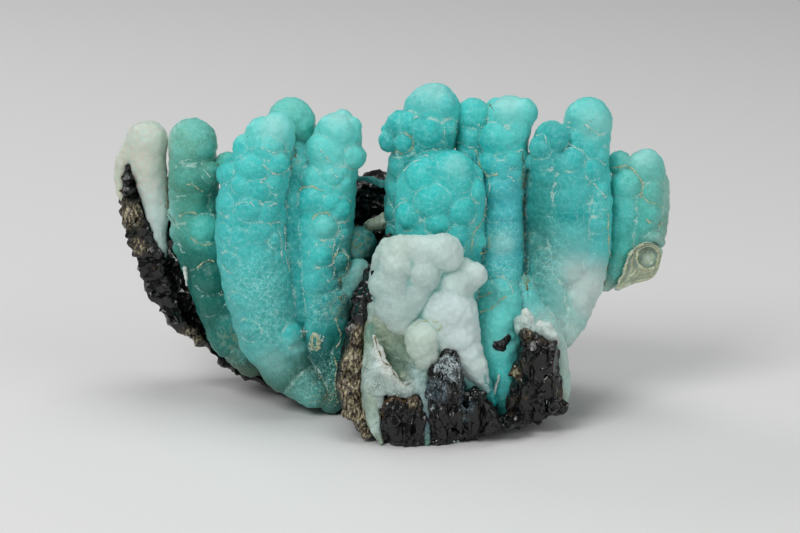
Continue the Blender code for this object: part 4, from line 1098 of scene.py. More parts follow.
weatheredRims = [  # (u, h) lines at a depth
    (-13.6, [(-1.4, 5.2), (-1.3, 7.5), (0.3, 8.2), (1.3, 8.2), (1.9, 7.6), (2.7, 8.3), (4.0, 8.3), (4.7, 7.8)]),
    (-6.9, [(22.2, 17.2), (24.6, 16.7), (25.1, 15.6), (25.3, 12.0), (25.5, 10.4), (26.1, 9.0), (26.2, 6.0)]),
    (-7.0, [(20.1, 14.6), (20.0, 13.2), (18.6, 12.6), (18.4, 11.4), (18.0, 9.0), (17.4, 7.4), (17.6, 5.0)]),
]


# How near each point lies to the weathered rims of the crags
def rimShare(points):
    share = np.zeros(len(points))
    for front, line in weatheredRims:
        for back in (0.0, 0.6, 1.2):
            rims = np.array([list(rim) for rim in onSheetRow(line, front + back)])
            for start, end in zip(rims, rims[1:]):
                t = np.clip((points - start) @ (end - start) / ((end - start) @ (end - start)), 0, 1)
                far = np.linalg.norm(points - start - t[:, None] * (end - start), axis=1)
                share = np.maximum(share, np.clip(1.4 - far / rockLook["rimWidth"], 0, 1))
    return share


def rockFinish():
    material = bpy.data.materials.new("glossyBlackRock")
    material.use_nodes = True
    tree = material.node_tree
    shader = tree.nodes["Principled BSDF"]
    place = put(tree, "ShaderNodeTexCoord").outputs["Object"]
    brown, druse, slate, rim = (put(tree, "ShaderNodeAttribute", attribute_name=word).outputs["Fac"]
                                for word in ("brown", "druse", "slate", "rim"))
    coarse = noiseOf(tree, place, 2.6, 5.0, 0.65)
    long = put(tree, "ShaderNodeVectorMath", {0: place, 1: (1.0, 1.0, 0.4)}, operation="MULTIPLY").outputs[0]
    fineNoise = noiseOf(tree, long, 0.4, 4.0, 0.65)
    cells = put(tree, "ShaderNodeTexVoronoi", {"Vector": long, "Scale": 1.0 / (0.75 * mm)}, feature="F1")
    pick = put(tree, "ShaderNodeSeparateColor", {"Color": cells.outputs["Color"]})
    share = calc(tree, "MULTIPLY_ADD", brown, 1.2, spread(tree, coarse, 0.58, 0.74, 0.0, 0.7))
    share = calc(tree, "MULTIPLY", share, spread(tree, fineNoise, 0.34, 0.54))
    color = blendColor(tree, share, rockLook["black"], rockLook["brown"])
    ash = calc(tree, "MULTIPLY", brown, spread(tree, fineNoise, 0.5, 0.6))
    color = blendColor(tree, ash, color, rockLook["grey"])
    edge = calc(tree, "MULTIPLY", rim, spread(tree, coarse, 0.4, 0.56, 0.0, 0.9))
    color = blendColor(tree, edge, color, rockLook["rim"])
    crystals = put(tree, "ShaderNodeTexVoronoi", {"Vector": place, "Scale": 1.0 / (0.34 * mm)}, feature="F1")
    tone = put(tree, "ShaderNodeSeparateColor", {"Color": crystals.outputs["Color"]}).outputs[2]
    blue = calc(tree, "MULTIPLY", spread(tree, slate, 0.0, 0.6), spread(tree, tone, 0.35, 0.9, 0.1, 0.8))
    color = blendColor(tree, blue, color, rockLook["slate"])
    patchy = calc(tree, "ADD", spread(tree, druse, 0.0, 0.9, -0.3, 0.5), spread(tree, fineNoise, 0.3, 0.7, -0.3, 0.6))
    sugar = calc(tree, "MULTIPLY", spread(tree, patchy, 0.1, 0.4), spread(tree, tone, 0.2, 0.8, 0.2, 1.0))
    sugar = calc(tree, "MULTIPLY", sugar, spread(tree, druse, 0.0, 0.1))
    color = blendColor(tree, sugar, color, rockLook["druse"])
    tree.links.new(color, shader.inputs["Base Color"])
    dull = calc(tree, "MAXIMUM", share, ash)
    rough = calc(tree, "MULTIPLY_ADD", dull, 0.35, spread(tree, pick.outputs[0], 0.0, 1.0, 0.05, 0.15))
    tree.links.new(rough, shader.inputs["Roughness"])
    off = put(tree, "ShaderNodeVectorMath", {0: long, 1: cells.outputs["Position"]}, operation="SUBTRACT")
    lean = put(tree, "ShaderNodeVectorMath", {0: cells.outputs["Color"], 1: (0.5, 0.5, 0.5)}, operation="SUBTRACT")
    tilt = put(tree, "ShaderNodeVectorMath", {0: off.outputs[0], 1: lean.outputs[0]}, operation="DOT_PRODUCT")
    height = calc(tree, "MULTIPLY_ADD", tilt.outputs["Value"], 1500.0, calc(tree, "MULTIPLY", fineNoise, 0.2))
    bump = put(tree, "ShaderNodeBump", {"Strength": 1.0, "Distance": 0.25 * mm, "Height": height})
    tree.links.new(bump.outputs[0], shader.inputs["Normal"])
    shader.inputs["Specular IOR Level"].default_value = 0.5
    return material


rockMaterial = rockFinish()
rockRelief = rockReliefTree()
rockPieces = {  # what builds it, voxel, smoothing, share of faces kept, values for the relief
    "blackRockBody": (addRockBody, hostRock["bodyVoxel"], 2, 0.35, {"Stretch": 0.6}),
    "blackFrontCrags": (addFrontRock, hostRock["frontVoxel"], 1, 0.4,
                        {"Coarse Size": 2.5 * mm, "Coarse Tilt": 0.8, "Middle Size": 1.3 * mm, "Stretch": 1.6}),
}
madeRock = []
for name, (build, voxel, smoothing, kept, reliefValues) in rockPieces.items():
    rock = skinOver(name, build, voxel, smoothing)
    calm = hostRock["calmShare"] * zoneShare(pointsOf(rock.data), hostRock["calmZones"])
    storeNumber(rock.data, "calm", calm)
    runTree(rock, rockRelief, {"Rock": rockMaterial, **reliefValues})
    facets = rock.modifiers.new("facets", "DECIMATE")
    facets.ratio = kept
    settle(rock)
    rock.data.shade_flat()
    rockPoints = pointsOf(rock.data)
    for word, zones in rockZones.items():
        storeNumber(rock.data, word, zoneShare(rockPoints, zones))
    storeNumber(rock.data, "rim", rimShare(rockPoints))
    keepAboveFloor(rock)
    dressPiece(rock, "host_rock")
    madeRock.append(rock)


# Broken quartz at the foot of the milky growth, veins between the crags and small white points
brokenFoot = {
    "voxel": 0.2, "blend": 0.16,
    "fingers": {  # runs of (u, h, y, radius) and their tints
        "footFill": ([(-2.2, 15.0, -7.6, 2.0), (-1.4, 9.0, -8.6, 2.4), (-0.4, 4.0, -9.2, 2.0)],
                     ("celadon", "celadon")),
        "midFill": ([(3.0, 14.0, -6.4, 2.4), (4.4, 9.0, -8.6, 2.6), (4.6, 4.0, -9.2, 2.0)],
                    ("greyGreen", "greyGreen")),
        "rightFill": ([(11.0, 13.4, -6.8, 2.6), (12.4, 9.0, -7.6, 2.4), (14.4, 6.0, -6.6, 1.8)],
                      ("frost", "mist", "shade")),
        "paleBand": ([
            (-3.0, 19.0, -8.6, 0.7), (-3.1, 16.6, -9.6, 1.0), (-3.3, 14.0, -10.8, 1.15), (-3.2, 11.0, -11.8, 1.2),
            (-2.9, 8.0, -12.2, 1.1), (-2.7, 5.4, -12.4, 1.0), (-2.3, 3.4, -12.6, 0.8), (-1.5, 1.4, -12.9, 0.4),
        ], ("seaGlass", "celadon", "milk", "celadon", "milk", "celadon")),
        "bandLeft": ([(-3.6, 12.2, -11.2, 1.1), (-3.5, 7.6, -11.7, 1.0), (-3.1, 4.4, -12.0, 0.7)],
                     ("pebble", "celadon")),
        "scar": ([(-0.8, 18.6, -5.6, 4.0), (0.8, 16.2, -5.6, 4.4), (2.0, 13.8, -6.6, 4.0), (2.8, 11.8, -8.2, 2.8)],
                 ("celadon", "scarGreen", "scarGreen", "celadon")),
        "secondScar": ([(3.2, 15.6, -8.2, 1.8), (4.2, 12.4, -9.6, 1.9), (4.8, 10.0, -10.8, 1.7)],
                       ("celadon", "cloud", "cloud")),
        "whiteWedge": ([
            (-2.6, 17.8, -11.0, 0.3), (-2.0, 15.6, -11.3, 0.65), (-1.5, 13.9, -11.5, 0.9), (-0.6, 12.4, -11.8, 0.9),
            (0.8, 11.0, -12.1, 0.7), (2.2, 10.1, -12.4, 0.35),
        ], ("chalkWhite", "chalkWhite")),
        "wedgeShoulder": ([(-2.7, 15.0, -10.8, 0.9), (-2.3, 12.6, -11.5, 1.1)], ("milk", "milk")),
        "sugarLeft": ([(-2.1, 11.6, -11.8, 1.1), (-1.8, 9.0, -12.3, 1.1), (-1.6, 7.4, -12.6, 0.7)],
                      ("sugarWhite", "sugarWhite")),
        "sugarPatch": ([(-1.2, 11.2, -11.6, 1.3), (0.6, 9.6, -12.0, 1.3), (2.6, 9.2, -12.2, 1.2)],
                       ("sugarWhite", "sugarWhite")),
        "blueGlaze": ([(2.8, 9.8, -11.8, 1.3), (4.2, 10.0, -11.8, 1.3), (5.0, 11.6, -11.4, 1.0)],
                      ("sugarWhite", "cloud")),
        "blueVein": ([
            (5.0, 9.6, -12.7, 0.7), (5.3, 7.4, -12.9, 0.6), (5.6, 4.6, -13.1, 0.55), (5.6, 2.6, -13.1, 0.45),
            (5.5, 1.4, -13.1, 0.3),
        ], ("cloud", "greyBlue", "seaGlass")),
        "tealFringe": ([(13.4, 12.4, -9.0, 1.3), (14.4, 10.4, -8.4, 1.2), (15.2, 7.8, -8.0, 1.0)],
                       ("frost", "mist", "ocean")),
        "whiteStreak": ([(16.6, 11.8, -6.6, 0.25), (16.2, 10.2, -6.8, 0.4), (15.9, 8.8, -6.9, 0.35)],
                        ("chalkWhite", "chalkWhite")),
        "firstPoint": ([(20.6, 21.6, -4.4, 0.6), (20.9, 20.4, -4.8, 1.1), (21.1, 19.2, -5.2, 1.1)],
                       ("chalkWhite", "milk")),
        "firstFoot": ([(19.8, 20.0, -4.2, 1.0), (20.2, 18.8, -4.9, 1.0), (21.6, 18.8, -4.9, 1.0)],
                      ("cloud", "milk")),
        "secondPoint": ([
            (23.0, 19.6, -4.4, 0.8), (23.9, 18.9, -4.9, 1.1), (24.6, 17.8, -5.2, 1.1), (25.0, 16.9, -5.2, 0.8),
        ], ("chalkWhite", "milk", "chalkWhite")),
        "pointSaddle": ([(21.6, 18.8, -4.4, 1.0), (23.0, 18.0, -4.6, 1.1)], ("pebble", "pebble")),
        "splinter": ([(-31.8, 28.3, 7.6, 0.22), (-31.5, 26.9, 7.6, 0.3), (-31.4, 25.6, 7.8, 0.32)],
                     ("chalkWhite", "chalkWhite")),
        "rearWedge": ([(-4.5, 34.2, 9.4, 0.35), (-2.9, 34.8, 9.6, 0.9), (-1.0, 35.4, 10.0, 1.4)],
                      ("celadon", "celadon")),
        "rearBand": ([(-4.6, 42.0, 10.6, 0.35), (-2.9, 41.8, 10.4, 0.5), (-1.2, 41.2, 10.4, 0.6)],
                     ("mist", "mist")),
    },
}


def quartzFinish():
    material = bpy.data.materials.new("brokenQuartz")
    material.use_nodes = True
    tree = material.node_tree
    shader = tree.nodes["Principled BSDF"]
    place = put(tree, "ShaderNodeTexCoord").outputs["Object"]
    tint = put(tree, "ShaderNodeAttribute", attribute_name="tint").outputs["Color"]
    cloud = noiseOf(tree, place, 1.4, 4.0, 0.6)
    grain = noiseOf(tree, place, 0.3, 3.0, 0.6)
    brightness = calc(tree, "MULTIPLY", spread(tree, cloud, 0.3, 0.7, 0.75, 1.15), spread(tree, grain, 0.3, 0.7, 0.85, 1.1))
    color = put(tree, "ShaderNodeVectorMath", {0: tint}, operation="SCALE")
    tree.links.new(brightness, color.inputs["Scale"])
    tree.links.new(color.outputs[0], shader.inputs["Base Color"])
    bump = put(tree, "ShaderNodeBump", {"Strength": 0.5, "Distance": 0.15 * mm, "Height": grain})
    tree.links.new(bump.outputs[0], shader.inputs["Normal"])
    shader.inputs["Roughness"].default_value = 0.28
    shader.inputs["Subsurface Weight"].default_value = 0.3
    shader.inputs["Subsurface Radius"].default_value = (0.9, 1.0, 0.9)
    shader.inputs["Subsurface Scale"].default_value = 0.8 * mm
    return material


shardLimbs = [limbOf(run, colors) for run, colors in brokenFoot["fingers"].values()]
shardPiece = growSkin("brokenQuartz", shardLimbs, brokenFoot["voxel"], brokenFoot["blend"])
storeColor(shardPiece.data, "tint", tintOf(pointsOf(shardPiece.data), shardLimbs, 0.2))
runTree(shardPiece, rockRelief, {
    "Rock": quartzFinish(), "Coarse Tilt": 0.3, "Middle Tilt": 0.2, "Grain Height": 0.15 * mm})
keepAboveFloor(shardPiece)
dressPiece(shardPiece, "")


# The broken open end of a hollow finger: a glassy bowl, its middle painted pale partly as a highlight, inside ragged
# layered rims
brokenEnd = {
    "depth": 6.6, "bowl": (39.6, 29.9), "bowlRadius": 1.7, "spokes": 96,
    "outline": [  # (u, h)
        (34.5, 25.1), (35.1, 26.0), (35.7, 27.1), (36.0, 28.6), (36.3, 29.6), (36.8, 30.5), (37.5, 31.3),
        (38.2, 31.9), (38.8, 32.2), (39.6, 32.3), (40.4, 32.1), (41.3, 31.4), (41.7, 30.4), (41.5, 29.2),
        (41.2, 28.1), (40.9, 27.5), (40.4, 26.9), (39.5, 26.4), (38.6, 26.2), (37.7, 26.0), (36.9, 25.7),
        (36.1, 25.4), (35.2, 24.9),
    ],
    # share of the way out, rise towards the eye in mm, tint of the layered side, tint of the porous side
    "rings": [
        # The pale tints at the bowl's middle are partly a painted highlight on its glassy hollow
        (0.0, -1.2, "snow", "snow"), (0.14, -1.15, "lemonMilk", "lemonMilk"), (0.28, -0.95, "pebble", "lemonMilk"),
        (0.39, -0.65, "celadon", "pebble"), (0.46, -0.3, "scarGreen", "celadon"), (0.51, -0.1, "cream", "cream"),
        (0.57, -0.25, "pebble", "cream"), (0.66, -0.4, "celadon", "cream"), (0.74, -0.15, "cream", "celadon"),
        (0.81, -0.35, "pebble", "cream"), (0.88, -0.35, "celadon", "celadon"), (0.95, -0.05, "cream", "cream"),
        (1.0, 0.0, "milk", "cream"), (1.03, -0.35, "celadon", "celadon"),
        (1.0, -1.2, "celadon", "celadon"), (0.85, -2.4, "seaGreen", "seaGreen"), (0.45, -3.2, "seaGreen", "seaGreen"),
    ],
}


def brokenEndPiece():
    dice = random.Random(5)
    lift = elevation["eyeLift"]
    toEye = Vector((0, -math.cos(lift), math.sin(lift)))
    bowl = Vector(brokenEnd["bowl"]).to_2d()
    rim = [Vector(corner) for corner in brokenEnd["outline"]]
    lengths = [0.0]
    for start, end in zip(rim, rim[1:] + rim[:1]):
        lengths.append(lengths[-1] + (end - start).length)
    shape = bmesh.new()
    shades, rows = [], []
    for share, rise, layered, porous in brokenEnd["rings"]:
        row = []
        for k in range(brokenEnd["spokes"] if share > 0 else 1):
            along = lengths[-1] * k / brokenEnd["spokes"]
            n = max(i for i in range(len(rim)) if lengths[i] <= along)
            t = (along - lengths[n]) / (lengths[n + 1] - lengths[n])
            edge = rim[n].lerp(rim[(n + 1) % len(rim)], t)
            way = (edge - bowl).normalized()
            layers = min(1.0, max(0.0, 0.3 + 1.8 * (0.5 * way.y - 0.8 * way.x)))
            reach = (edge - bowl).length
            inner = min(brokenEnd["bowlRadius"], 0.75 * reach)
            far = 2 * inner * share if share < 0.5 else inner + (2 * share - 1) * (reach - inner)
            spot = bowl + way * far * (1 + dice.uniform(-0.015, 0.015))
            place, _ = onSheet(spot.x, spot.y, brokenEnd["depth"])
            rough = dice.uniform(-0.3, 0.2) * (1 - layers) * (0.5 < share < 1.0)
            place += toEye * (rise * (0.2 + 0.8 * layers if 0.5 < share <= 1.0 else 1.0) + rough)
            row.append(shape.verts.new(place * mm))
            mix = min(1.0, max(0.0, layers + dice.uniform(-0.2, 0.2)))
            shades.append([a * mix + b * (1 - mix) for a, b in zip(tints[layered], tints[porous])])
        rows.append(row)
    for inner, outer in zip(rows, rows[1:]):
        for k in range(len(outer)):
            m = (k + 1) % len(outer)
            if len(inner) == 1:
                shape.faces.new((inner[0], outer[k], outer[m]))
            else:
                shape.faces.new((inner[k], outer[k], outer[m], inner[m]))
    shape.faces.new(list(reversed(rows[-1])))
    bmesh.ops.recalc_face_normals(shape, faces=shape.faces)
    mesh = bpy.data.meshes.new("brokenHollowEnd")
    shape.to_mesh(mesh)
    shape.free()
    storeColor(mesh, "tint", np.array(shades))
    mesh.shade_smooth()
    piece = newPiece("brokenHollowEnd", mesh)
    subdivide = piece.modifiers.new("finer", "SUBSURF")
    subdivide.levels = subdivide.render_levels = 1
    settle(piece)
    return piece


hollowPiece = brokenEndPiece()
hollowPiece.data.materials.append(bpy.data.materials["brokenQuartz"])
dressPiece(hollowPiece, "")


# Crust lines follow seams in the growth; each is cast onto what the eye meets there
crustPaths = {
    "white": [
        [(-19.8, 44.3), (-19.2, 43.7), (-18.5, 42.9), (-17.2, 42.7), (-16.0, 43.2), (-15.4, 44.0)],
        [(-20.2, 46.8), (-19.2, 46.5), (-18.3, 46.0), (-16.9, 46.2), (-15.5, 46.2)],
        [(-20.0, 41.5), (-19.1, 41.2), (-18.2, 40.6)],
        [(-20.0, 41.7), (-19.2, 42.3), (-18.8, 42.8)],
        [(-23.8, 38.0), (-23.2, 38.3), (-21.8, 38.5), (-20.9, 37.7)],
        [(-20.3, 38.2), (-18.9, 37.8), (-17.5, 38.2)],
        [(-10.9, 32.6), (-9.7, 32.3), (-8.6, 32.8)],
        [(-11.5, 28.3), (-10.3, 28.2), (-9.1, 28.8), (-8.3, 29.5)],
        [(-8.0, 34.8), (-8.3, 33.8), (-8.6, 32.6), (-8.8, 31.5), (-9.1, 30.5), (-8.8, 29.2), (-8.6, 28.0), (-8.9, 26.9), (-9.4, 26.0), (-9.8, 26.5)],
        [(-8.2, 35.1), (-7.1, 35.2), (-6.5, 35.7)],
        [(-7.8, 34.2), (-7.4, 33.2), (-7.7, 32.2), (-8.2, 31.1), (-8.5, 30.2)],
        [(-10.8, 46.5), (-10.0, 45.5), (-9.5, 44.9)],
        [(-9.2, 43.4), (-8.6, 42.5), (-8.2, 42.3)],
        [(-6.9, 39.1), (-6.2, 38.5)],
        [(-29.2, 36.6), (-28.2, 36.6), (-27.2, 36.3)],
        [(-32.6, 44.5), (-31.5, 44.9), (-30.5, 45.0)],
        [(-28.8, 43.4), (-28.3, 42.8), (-27.8, 42.2)],
        [(-35.5, 33.8), (-35.1, 32.6), (-34.3, 31.1), (-33.5, 30.3), (-32.8, 29.2)],
        [(10.2, 47.7), (11.1, 47.4), (11.8, 46.9), (12.8, 46.8), (13.5, 47.1)],
        [(15.1, 41.8), (15.2, 40.9), (15.1, 39.8), (14.6, 38.8), (14.5, 37.7)],
        [(2.0, 43.1), (2.6, 44.0), (3.4, 44.6), (4.5, 44.9), (5.2, 45.7), (6.2, 45.2), (6.6, 44.5)],
        [(0.3, 36.5), (0.6, 37.4), (1.2, 38.0), (2.0, 38.5), (2.6, 38.6)],
        [(3.4, 50.9), (3.7, 51.5), (4.3, 51.6)],
        [(8.2, 49.8), (8.3, 48.9), (8.2, 48.0)],
        [(13.4, 50.2), (14.2, 50.9), (14.9, 51.3), (15.5, 51.4)],
        [(17.8, 42.5), (18.5, 42.2), (19.1, 41.5)],
        [(18.8, 46.2), (19.5, 46.1), (20.2, 46.5)],
        [(16.3, 26.8), (16.9, 26.9), (17.8, 26.3), (18.5, 25.4), (18.8, 24.2)],
        [(14.9, 27.1), (15.5, 26.6), (15.7, 25.7)],
        [(29.8, 50.5), (30.6, 49.8), (31.5, 49.2), (32.3, 48.6)],
        [(26.2, 51.5), (26.8, 50.9), (27.7, 50.6)],
        [(22.3, 48.6), (23.2, 48.9), (23.8, 48.5), (24.0, 47.5)],
        [(32.2, 44.9), (32.6, 44.3), (33.1, 44.2)],
        [(31.1, 41.4), (31.8, 40.6), (32.5, 39.8), (33.2, 39.1)],
        [(7.8, 27.7), (7.5, 26.9), (7.1, 26.3)],
        [(-18.2, 35.1), (-17.2, 35.4), (-16.5, 34.6), (-16.2, 33.1), (-16.3, 31.1), (-16.0, 29.2), (-15.5, 27.7)],
        [(-17.5, 34.8), (-17.1, 33.5), (-16.9, 32.0), (-16.9, 30.5), (-16.5, 28.9)],
    ],
    "ring": [
        [(-12.4, 16.6), (-12.3, 17.6), (-11.8, 18.2), (-11.2, 17.9), (-10.9, 17.0), (-11.0, 16.0), (-11.5, 15.5),
         (-12.1, 15.8), (-12.4, 16.6)],
        [(-12.1, 16.6), (-12.0, 17.5), (-11.6, 17.8), (-11.2, 17.2), (-11.3, 16.2), (-11.7, 15.9), (-12.1, 16.6)],
        [(34.8, 25.4), (35.5, 26.9), (36.1, 28.5), (36.5, 29.7), (37.0, 30.6), (37.8, 31.5), (38.8, 32.0)],
        [(38.0, 30.9), (37.8, 29.9), (38.0, 28.9), (38.7, 28.2), (39.6, 28.0), (40.5, 28.3)],
        [(35.4, 25.6), (36.6, 26.6), (37.6, 27.8), (38.2, 28.4)],
    ],
    "cream": [
        [(-12.2, 35.4), (-11.7, 36.3), (-10.9, 36.8), (-9.8, 36.8), (-9.2, 36.2)],
        [(-14.0, 40.3), (-13.1, 40.8), (-12.0, 40.8), (-10.9, 40.3), (-10.3, 40.2)],
        [(-8.9, 29.2), (-8.5, 30.5), (-7.4, 30.8), (-6.6, 30.0), (-6.5, 28.8), (-6.9, 27.8)],
        [(-8.8, 14.6), (-8.3, 13.2), (-8.5, 11.5), (-8.6, 10.2), (-8.5, 8.5)],
        [(-8.5, 20.6), (-8.2, 19.4), (-7.7, 18.3), (-7.8, 16.9), (-8.5, 16.0)],
        [(-32.5, 36.3), (-31.7, 36.8), (-30.8, 36.9), (-29.8, 36.6)],
        [(-30.6, 32.9), (-29.8, 32.2), (-28.6, 31.8), (-27.4, 32.0)],
        [(-31.4, 41.1), (-30.6, 41.2), (-29.8, 40.6), (-28.8, 40.0)],
        [(-29.8, 28.3), (-28.9, 29.2), (-27.8, 29.5), (-27.1, 29.2)],
        [(13.1, 46.5), (13.4, 45.2), (13.8, 43.8), (14.6, 42.9), (15.1, 42.2)],
        [(15.1, 42.2), (15.7, 42.6), (16.5, 42.7)],
        [(14.5, 37.7), (14.5, 36.5), (14.0, 35.4), (13.1, 34.2), (12.5, 33.2), (12.5, 32.0), (12.3, 30.8)],
        [(2.2, 49.1), (2.9, 48.6), (3.4, 47.7), (3.2, 46.8), (2.6, 46.2), (1.7, 45.9), (0.8, 46.3), (0.5, 47.1)],
        [(13.7, 21.4), (14.6, 21.8), (15.4, 21.8), (16.3, 22.8), (17.1, 23.5), (17.8, 24.0)],
        [(13.7, 23.8), (14.6, 24.0), (15.4, 24.6)],
        [(13.7, 30.5), (14.5, 30.6), (15.1, 31.1), (15.2, 32.0), (15.1, 33.2)],
        [(33.4, 36.5), (33.4, 34.9), (33.5, 33.4), (33.5, 31.4), (33.8, 29.8)],
        [(34.0, 43.7), (34.9, 43.8), (36.2, 44.0), (37.1, 43.7), (37.8, 42.9), (38.5, 41.8), (38.8, 40.9), (38.6, 40.0), (38.5, 39.2)],
        [(38.8, 39.1), (39.5, 38.6), (40.3, 38.2), (41.2, 38.2), (41.7, 37.5)],
        [(41.1, 34.8), (42.0, 35.4)],
        [(39.4, 35.7), (40.0, 35.1)],
        [(6.6, 20.0), (7.5, 20.0), (7.8, 19.2), (7.2, 18.6)],
        [(3.7, 19.4), (4.5, 20.0), (5.7, 20.2)],
    ],
    "ochre": [
        [(-7.7, 27.2), (-7.8, 24.9), (-7.7, 23.4), (-7.1, 21.8)],
        [(-6.5, 29.2), (-6.5, 27.7), (-7.4, 26.9)],
        [(-6.0, 34.5), (-5.4, 34.8), (-4.5, 34.8), (-3.5, 34.3), (-3.1, 33.5)],
        [(-26.6, 44.3), (-26.2, 43.5), (-26.0, 43.1)],
        [(-34.6, 41.1), (-34.6, 39.5), (-34.3, 38.0), (-34.3, 36.8), (-34.6, 35.7)],
        [(-34.3, 36.6), (-33.7, 36.0), (-33.1, 35.1)],
        [(10.0, 49.8), (10.2, 48.9), (10.2, 48.0)],
        [(15.2, 53.5), (15.7, 52.6), (15.5, 52.5)],
        [(20.3, 46.5), (20.3, 44.2), (20.3, 41.8), (20.3, 38.8), (20.5, 36.5), (20.5, 34.5), (20.6, 32.6), (20.8, 30.3), (20.8, 28.0), (20.9, 25.7), (21.1, 24.0)],
        [(33.4, 28.8), (33.1, 27.2), (32.8, 25.7)],
        [(-14.9, 46.8), (-14.6, 46.2), (-14.8, 45.2)],
        [(-15.4, 44.0), (-15.2, 43.2), (-15.5, 42.9)],
        [(-2.6, 18.0), (-2.2, 16.5), (-1.5, 14.5), (-1.1, 13.8), (-0.2, 13.2), (0.6, 11.8), (1.2, 10.9), (2.2, 10.2), (3.4, 10.8), (3.4, 11.5)],
    ],
}
crustRule = {
    "step": 0.11,
    "tones": {"white": 0.0, "cream": 0.4, "ring": 0.35, "ochre": 0.8, "dark": 1.0},
    "sizes": {"white": (0.06, 0.13), "cream": (0.07, 0.16), "ring": (0.12, 0.24), "ochre": (0.06, 0.14)},
    "kept": {"white": 0.72, "cream": 0.8, "ring": 0.85, "ochre": 0.7},
}
crumbZones = [  # (u, h, radius, how many, tone, smallest, largest)
    (-13.4, 18.2, 0.6, 16, "white", 0.1, 0.2), (-22.9, 25.8, 0.02, 1, "dark", 0.1, 0.11),
    (-22.1, 25.8, 0.02, 1, "dark", 0.08, 0.1), (-21.5, 25.9, 0.02, 1, "dark", 0.08, 0.1),
    (-22.0, 48.5, 0.2, 3, "dark", 0.07, 0.1), (-6.6, 50.0, 0.7, 6, "dark", 0.06, 0.09),
    (5.8, 43.3, 0.4, 5, "dark", 0.05, 0.08), (31.0, 50.2, 1.3, 8, "dark", 0.05, 0.08),
    (-10.6, 17.6, 0.7, 12, "white", 0.08, 0.16), (-11.5, 21.5, 1.8, 40, "white", 0.04, 0.09),
    (-11.0, 9.5, 2.4, 60, "cream", 0.05, 0.12), (-9.2, 8.0, 1.2, 40, "cream", 0.06, 0.14),
    (-8.2, 23.0, 1.6, 40, "cream", 0.05, 0.12), (-7.6, 26.5, 1.2, 24, "ochre", 0.05, 0.1),
    (-5.0, 31.8, 2.2, 26, "ochre", 0.05, 0.1), (23.3, 27.0, 1.8, 40, "ochre", 0.04, 0.09),
    (23.6, 30.0, 2.0, 26, "cream", 0.04, 0.08), (39.5, 28.5, 2.4, 50, "cream", 0.06, 0.16),
    (5.6, 18.0, 1.6, 18, "cream", 0.04, 0.09), (10.1, 1.2, 0.6, 12, "white", 0.14, 0.3),
    (8.6, 13.4, 1.5, 50, "white", 0.04, 0.11), (7.2, 10.4, 1.4, 22, "white", 0.03, 0.08),
    (11.9, 9.0, 1.2, 16, "white", 0.03, 0.07), (0.0, 10.0, 1.8, 60, "white", 0.04, 0.11),
    (-2.2, 10.4, 0.8, 26, "white", 0.05, 0.12),
    (17.0, 36.0, 1.6, 24, "white", 0.03, 0.07), (17.2, 28.5, 2.0, 40, "white", 0.03, 0.08),
    (-25.0, 16.5, 2.0, 22, "ochre", 0.04, 0.09), (28.0, 18.5, 2.0, 18, "cream", 0.04, 0.09),
]


def castTrees():
    graph = bpy.context.evaluated_depsgraph_get()
    return [BVHTree.FromObject(piece, graph) for piece in (leftPiece, rightPiece, palePiece, shardPiece, hollowPiece, *madeRock)]


def castOn(trees, u, h):
    near, far = onSheet(u, h, -24.0)[0] * mm, onSheet(u, h, 24.0)[0] * mm
    best = None
    for tree in trees:
        place, normal, _, distance = tree.ray_cast(near, (far - near).normalized(), 0.06)
        if place and (best is None or distance < best[2]):
            best = (place, normal, distance)
    return best


def crustSpots():
    dice = random.Random(21)
    trees = castTrees()
    places, sizes, tones = [], [], []

    def lay(u, h, size, tone):
        hit = castOn(trees, u, h)
        if hit:
            places.append(hit[0] + hit[1] * size * 0.25 * mm)
            sizes.append(size * mm)
            tones.append(crustRule["tones"][tone] + dice.uniform(-0.12, 0.12))

    for tone, paths in crustPaths.items():
        small, large = crustRule["sizes"][tone]
        for path in paths:
            drift, swell = dice.uniform(0, 9), dice.uniform(0, 9)
            for (u1, h1), (u2, h2) in zip(path, path[1:]):
                steps = max(2, round(math.hypot(u2 - u1, h2 - h1) / crustRule["step"]))
                for k in range(steps):
                    drift += 0.12
                    swell += 0.31
                    if dice.random() > crustRule["kept"][tone] + 0.25 * math.sin(drift * 3):
                        continue
                    t = k / steps
                    size = dice.uniform(small, large) * (1 + 0.35 * math.sin(swell))
                    lay(u1 + (u2 - u1) * t + dice.gauss(0, 0.05), h1 + (h2 - h1) * t + dice.gauss(0, 0.05), size, tone)
    for u, h, radius, count, tone, small, large in crumbZones:
        for _ in range(count):
            turn, far = dice.uniform(0, math.tau), radius * math.sqrt(dice.random())
            lay(u + far * math.cos(turn), h + far * math.sin(turn), dice.uniform(small, large), tone)
    return places, sizes, tones


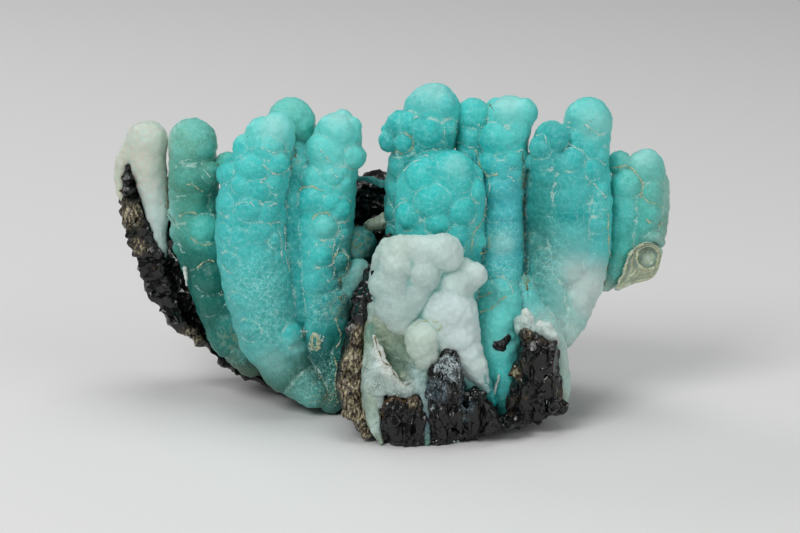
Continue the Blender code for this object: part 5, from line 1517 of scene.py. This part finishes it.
def crumbTree():
    inputs = {"Squash": ("NodeSocketFloat", 0.7), "Seed": ("NodeSocketInt", 3), "Crust": ("NodeSocketMaterial", None)}
    tree, given, out = newTree("crustCrumbs", inputs)
    dots = put(tree, "GeometryNodeMeshToPoints", {"Mesh": given.outputs["Geometry"]})
    ball = put(tree, "GeometryNodeMeshIcoSphere", {"Radius": 1.0, "Subdivisions": 1})
    size = put(tree, "GeometryNodeInputNamedAttribute", {"Name": "crumbSize"}, data_type="FLOAT").outputs[0]
    turn = put(tree, "FunctionNodeRandomValue", {"Max": (math.tau,) * 3}, data_type="FLOAT_VECTOR")
    tree.links.new(given.outputs["Seed"], turn.inputs["Seed"])
    low = put(tree, "ShaderNodeCombineXYZ", {0: 1.0, 1: 1.0})
    tree.links.new(given.outputs["Squash"], low.inputs[2])
    scale = put(tree, "ShaderNodeVectorMath", {0: low.outputs[0]}, operation="SCALE")
    tree.links.new(size, scale.inputs["Scale"])
    copies = put(tree, "GeometryNodeInstanceOnPoints", {"Points": dots.outputs[0], "Instance": ball.outputs[0]})
    tree.links.new(turn.outputs[0], copies.inputs["Rotation"])
    tree.links.new(scale.outputs[0], copies.inputs["Scale"])
    real = put(tree, "GeometryNodeRealizeInstances", {"Geometry": copies.outputs[0]})
    worn = put(tree, "GeometryNodeSetMaterial", {"Geometry": real.outputs[0]})
    tree.links.new(given.outputs["Crust"], worn.inputs["Material"])
    tree.links.new(worn.outputs[0], out.inputs[0])
    return tree


def crustFinish():
    material = bpy.data.materials.new("paleCrust")
    material.use_nodes = True
    tree = material.node_tree
    shader = tree.nodes["Principled BSDF"]
    tone = put(tree, "ShaderNodeAttribute", attribute_name="tone").outputs["Fac"]
    ramp = put(tree, "ShaderNodeValToRGB", {"Fac": tone})
    ramp.color_ramp.elements[0].color = (0.62, 0.78, 0.72, 1)
    ramp.color_ramp.elements[1].color = (0.02, 0.04, 0.03, 1)
    for mark, color in ((0.45, (0.56, 0.58, 0.36, 1)), (0.8, (0.18, 0.14, 0.035, 1))):
        ramp.color_ramp.elements.new(mark).color = color
    tree.links.new(ramp.outputs[0], shader.inputs["Base Color"])
    shader.inputs["Roughness"].default_value = 0.6
    return material


crumbPlaces, crumbSizes, crumbTones = crustSpots()
crumbMesh = bpy.data.meshes.new("paleCrust")
crumbMesh.from_pydata(crumbPlaces, [], [])
storeNumber(crumbMesh, "crumbSize", np.array(crumbSizes))
storeNumber(crumbMesh, "tone", np.array(crumbTones))
crumbPiece = newPiece("paleCrust", crumbMesh)
runTree(crumbPiece, crumbTree(), {"Crust": crustFinish()})
keepAboveFloor(crumbPiece)
dressPiece(crumbPiece, "")
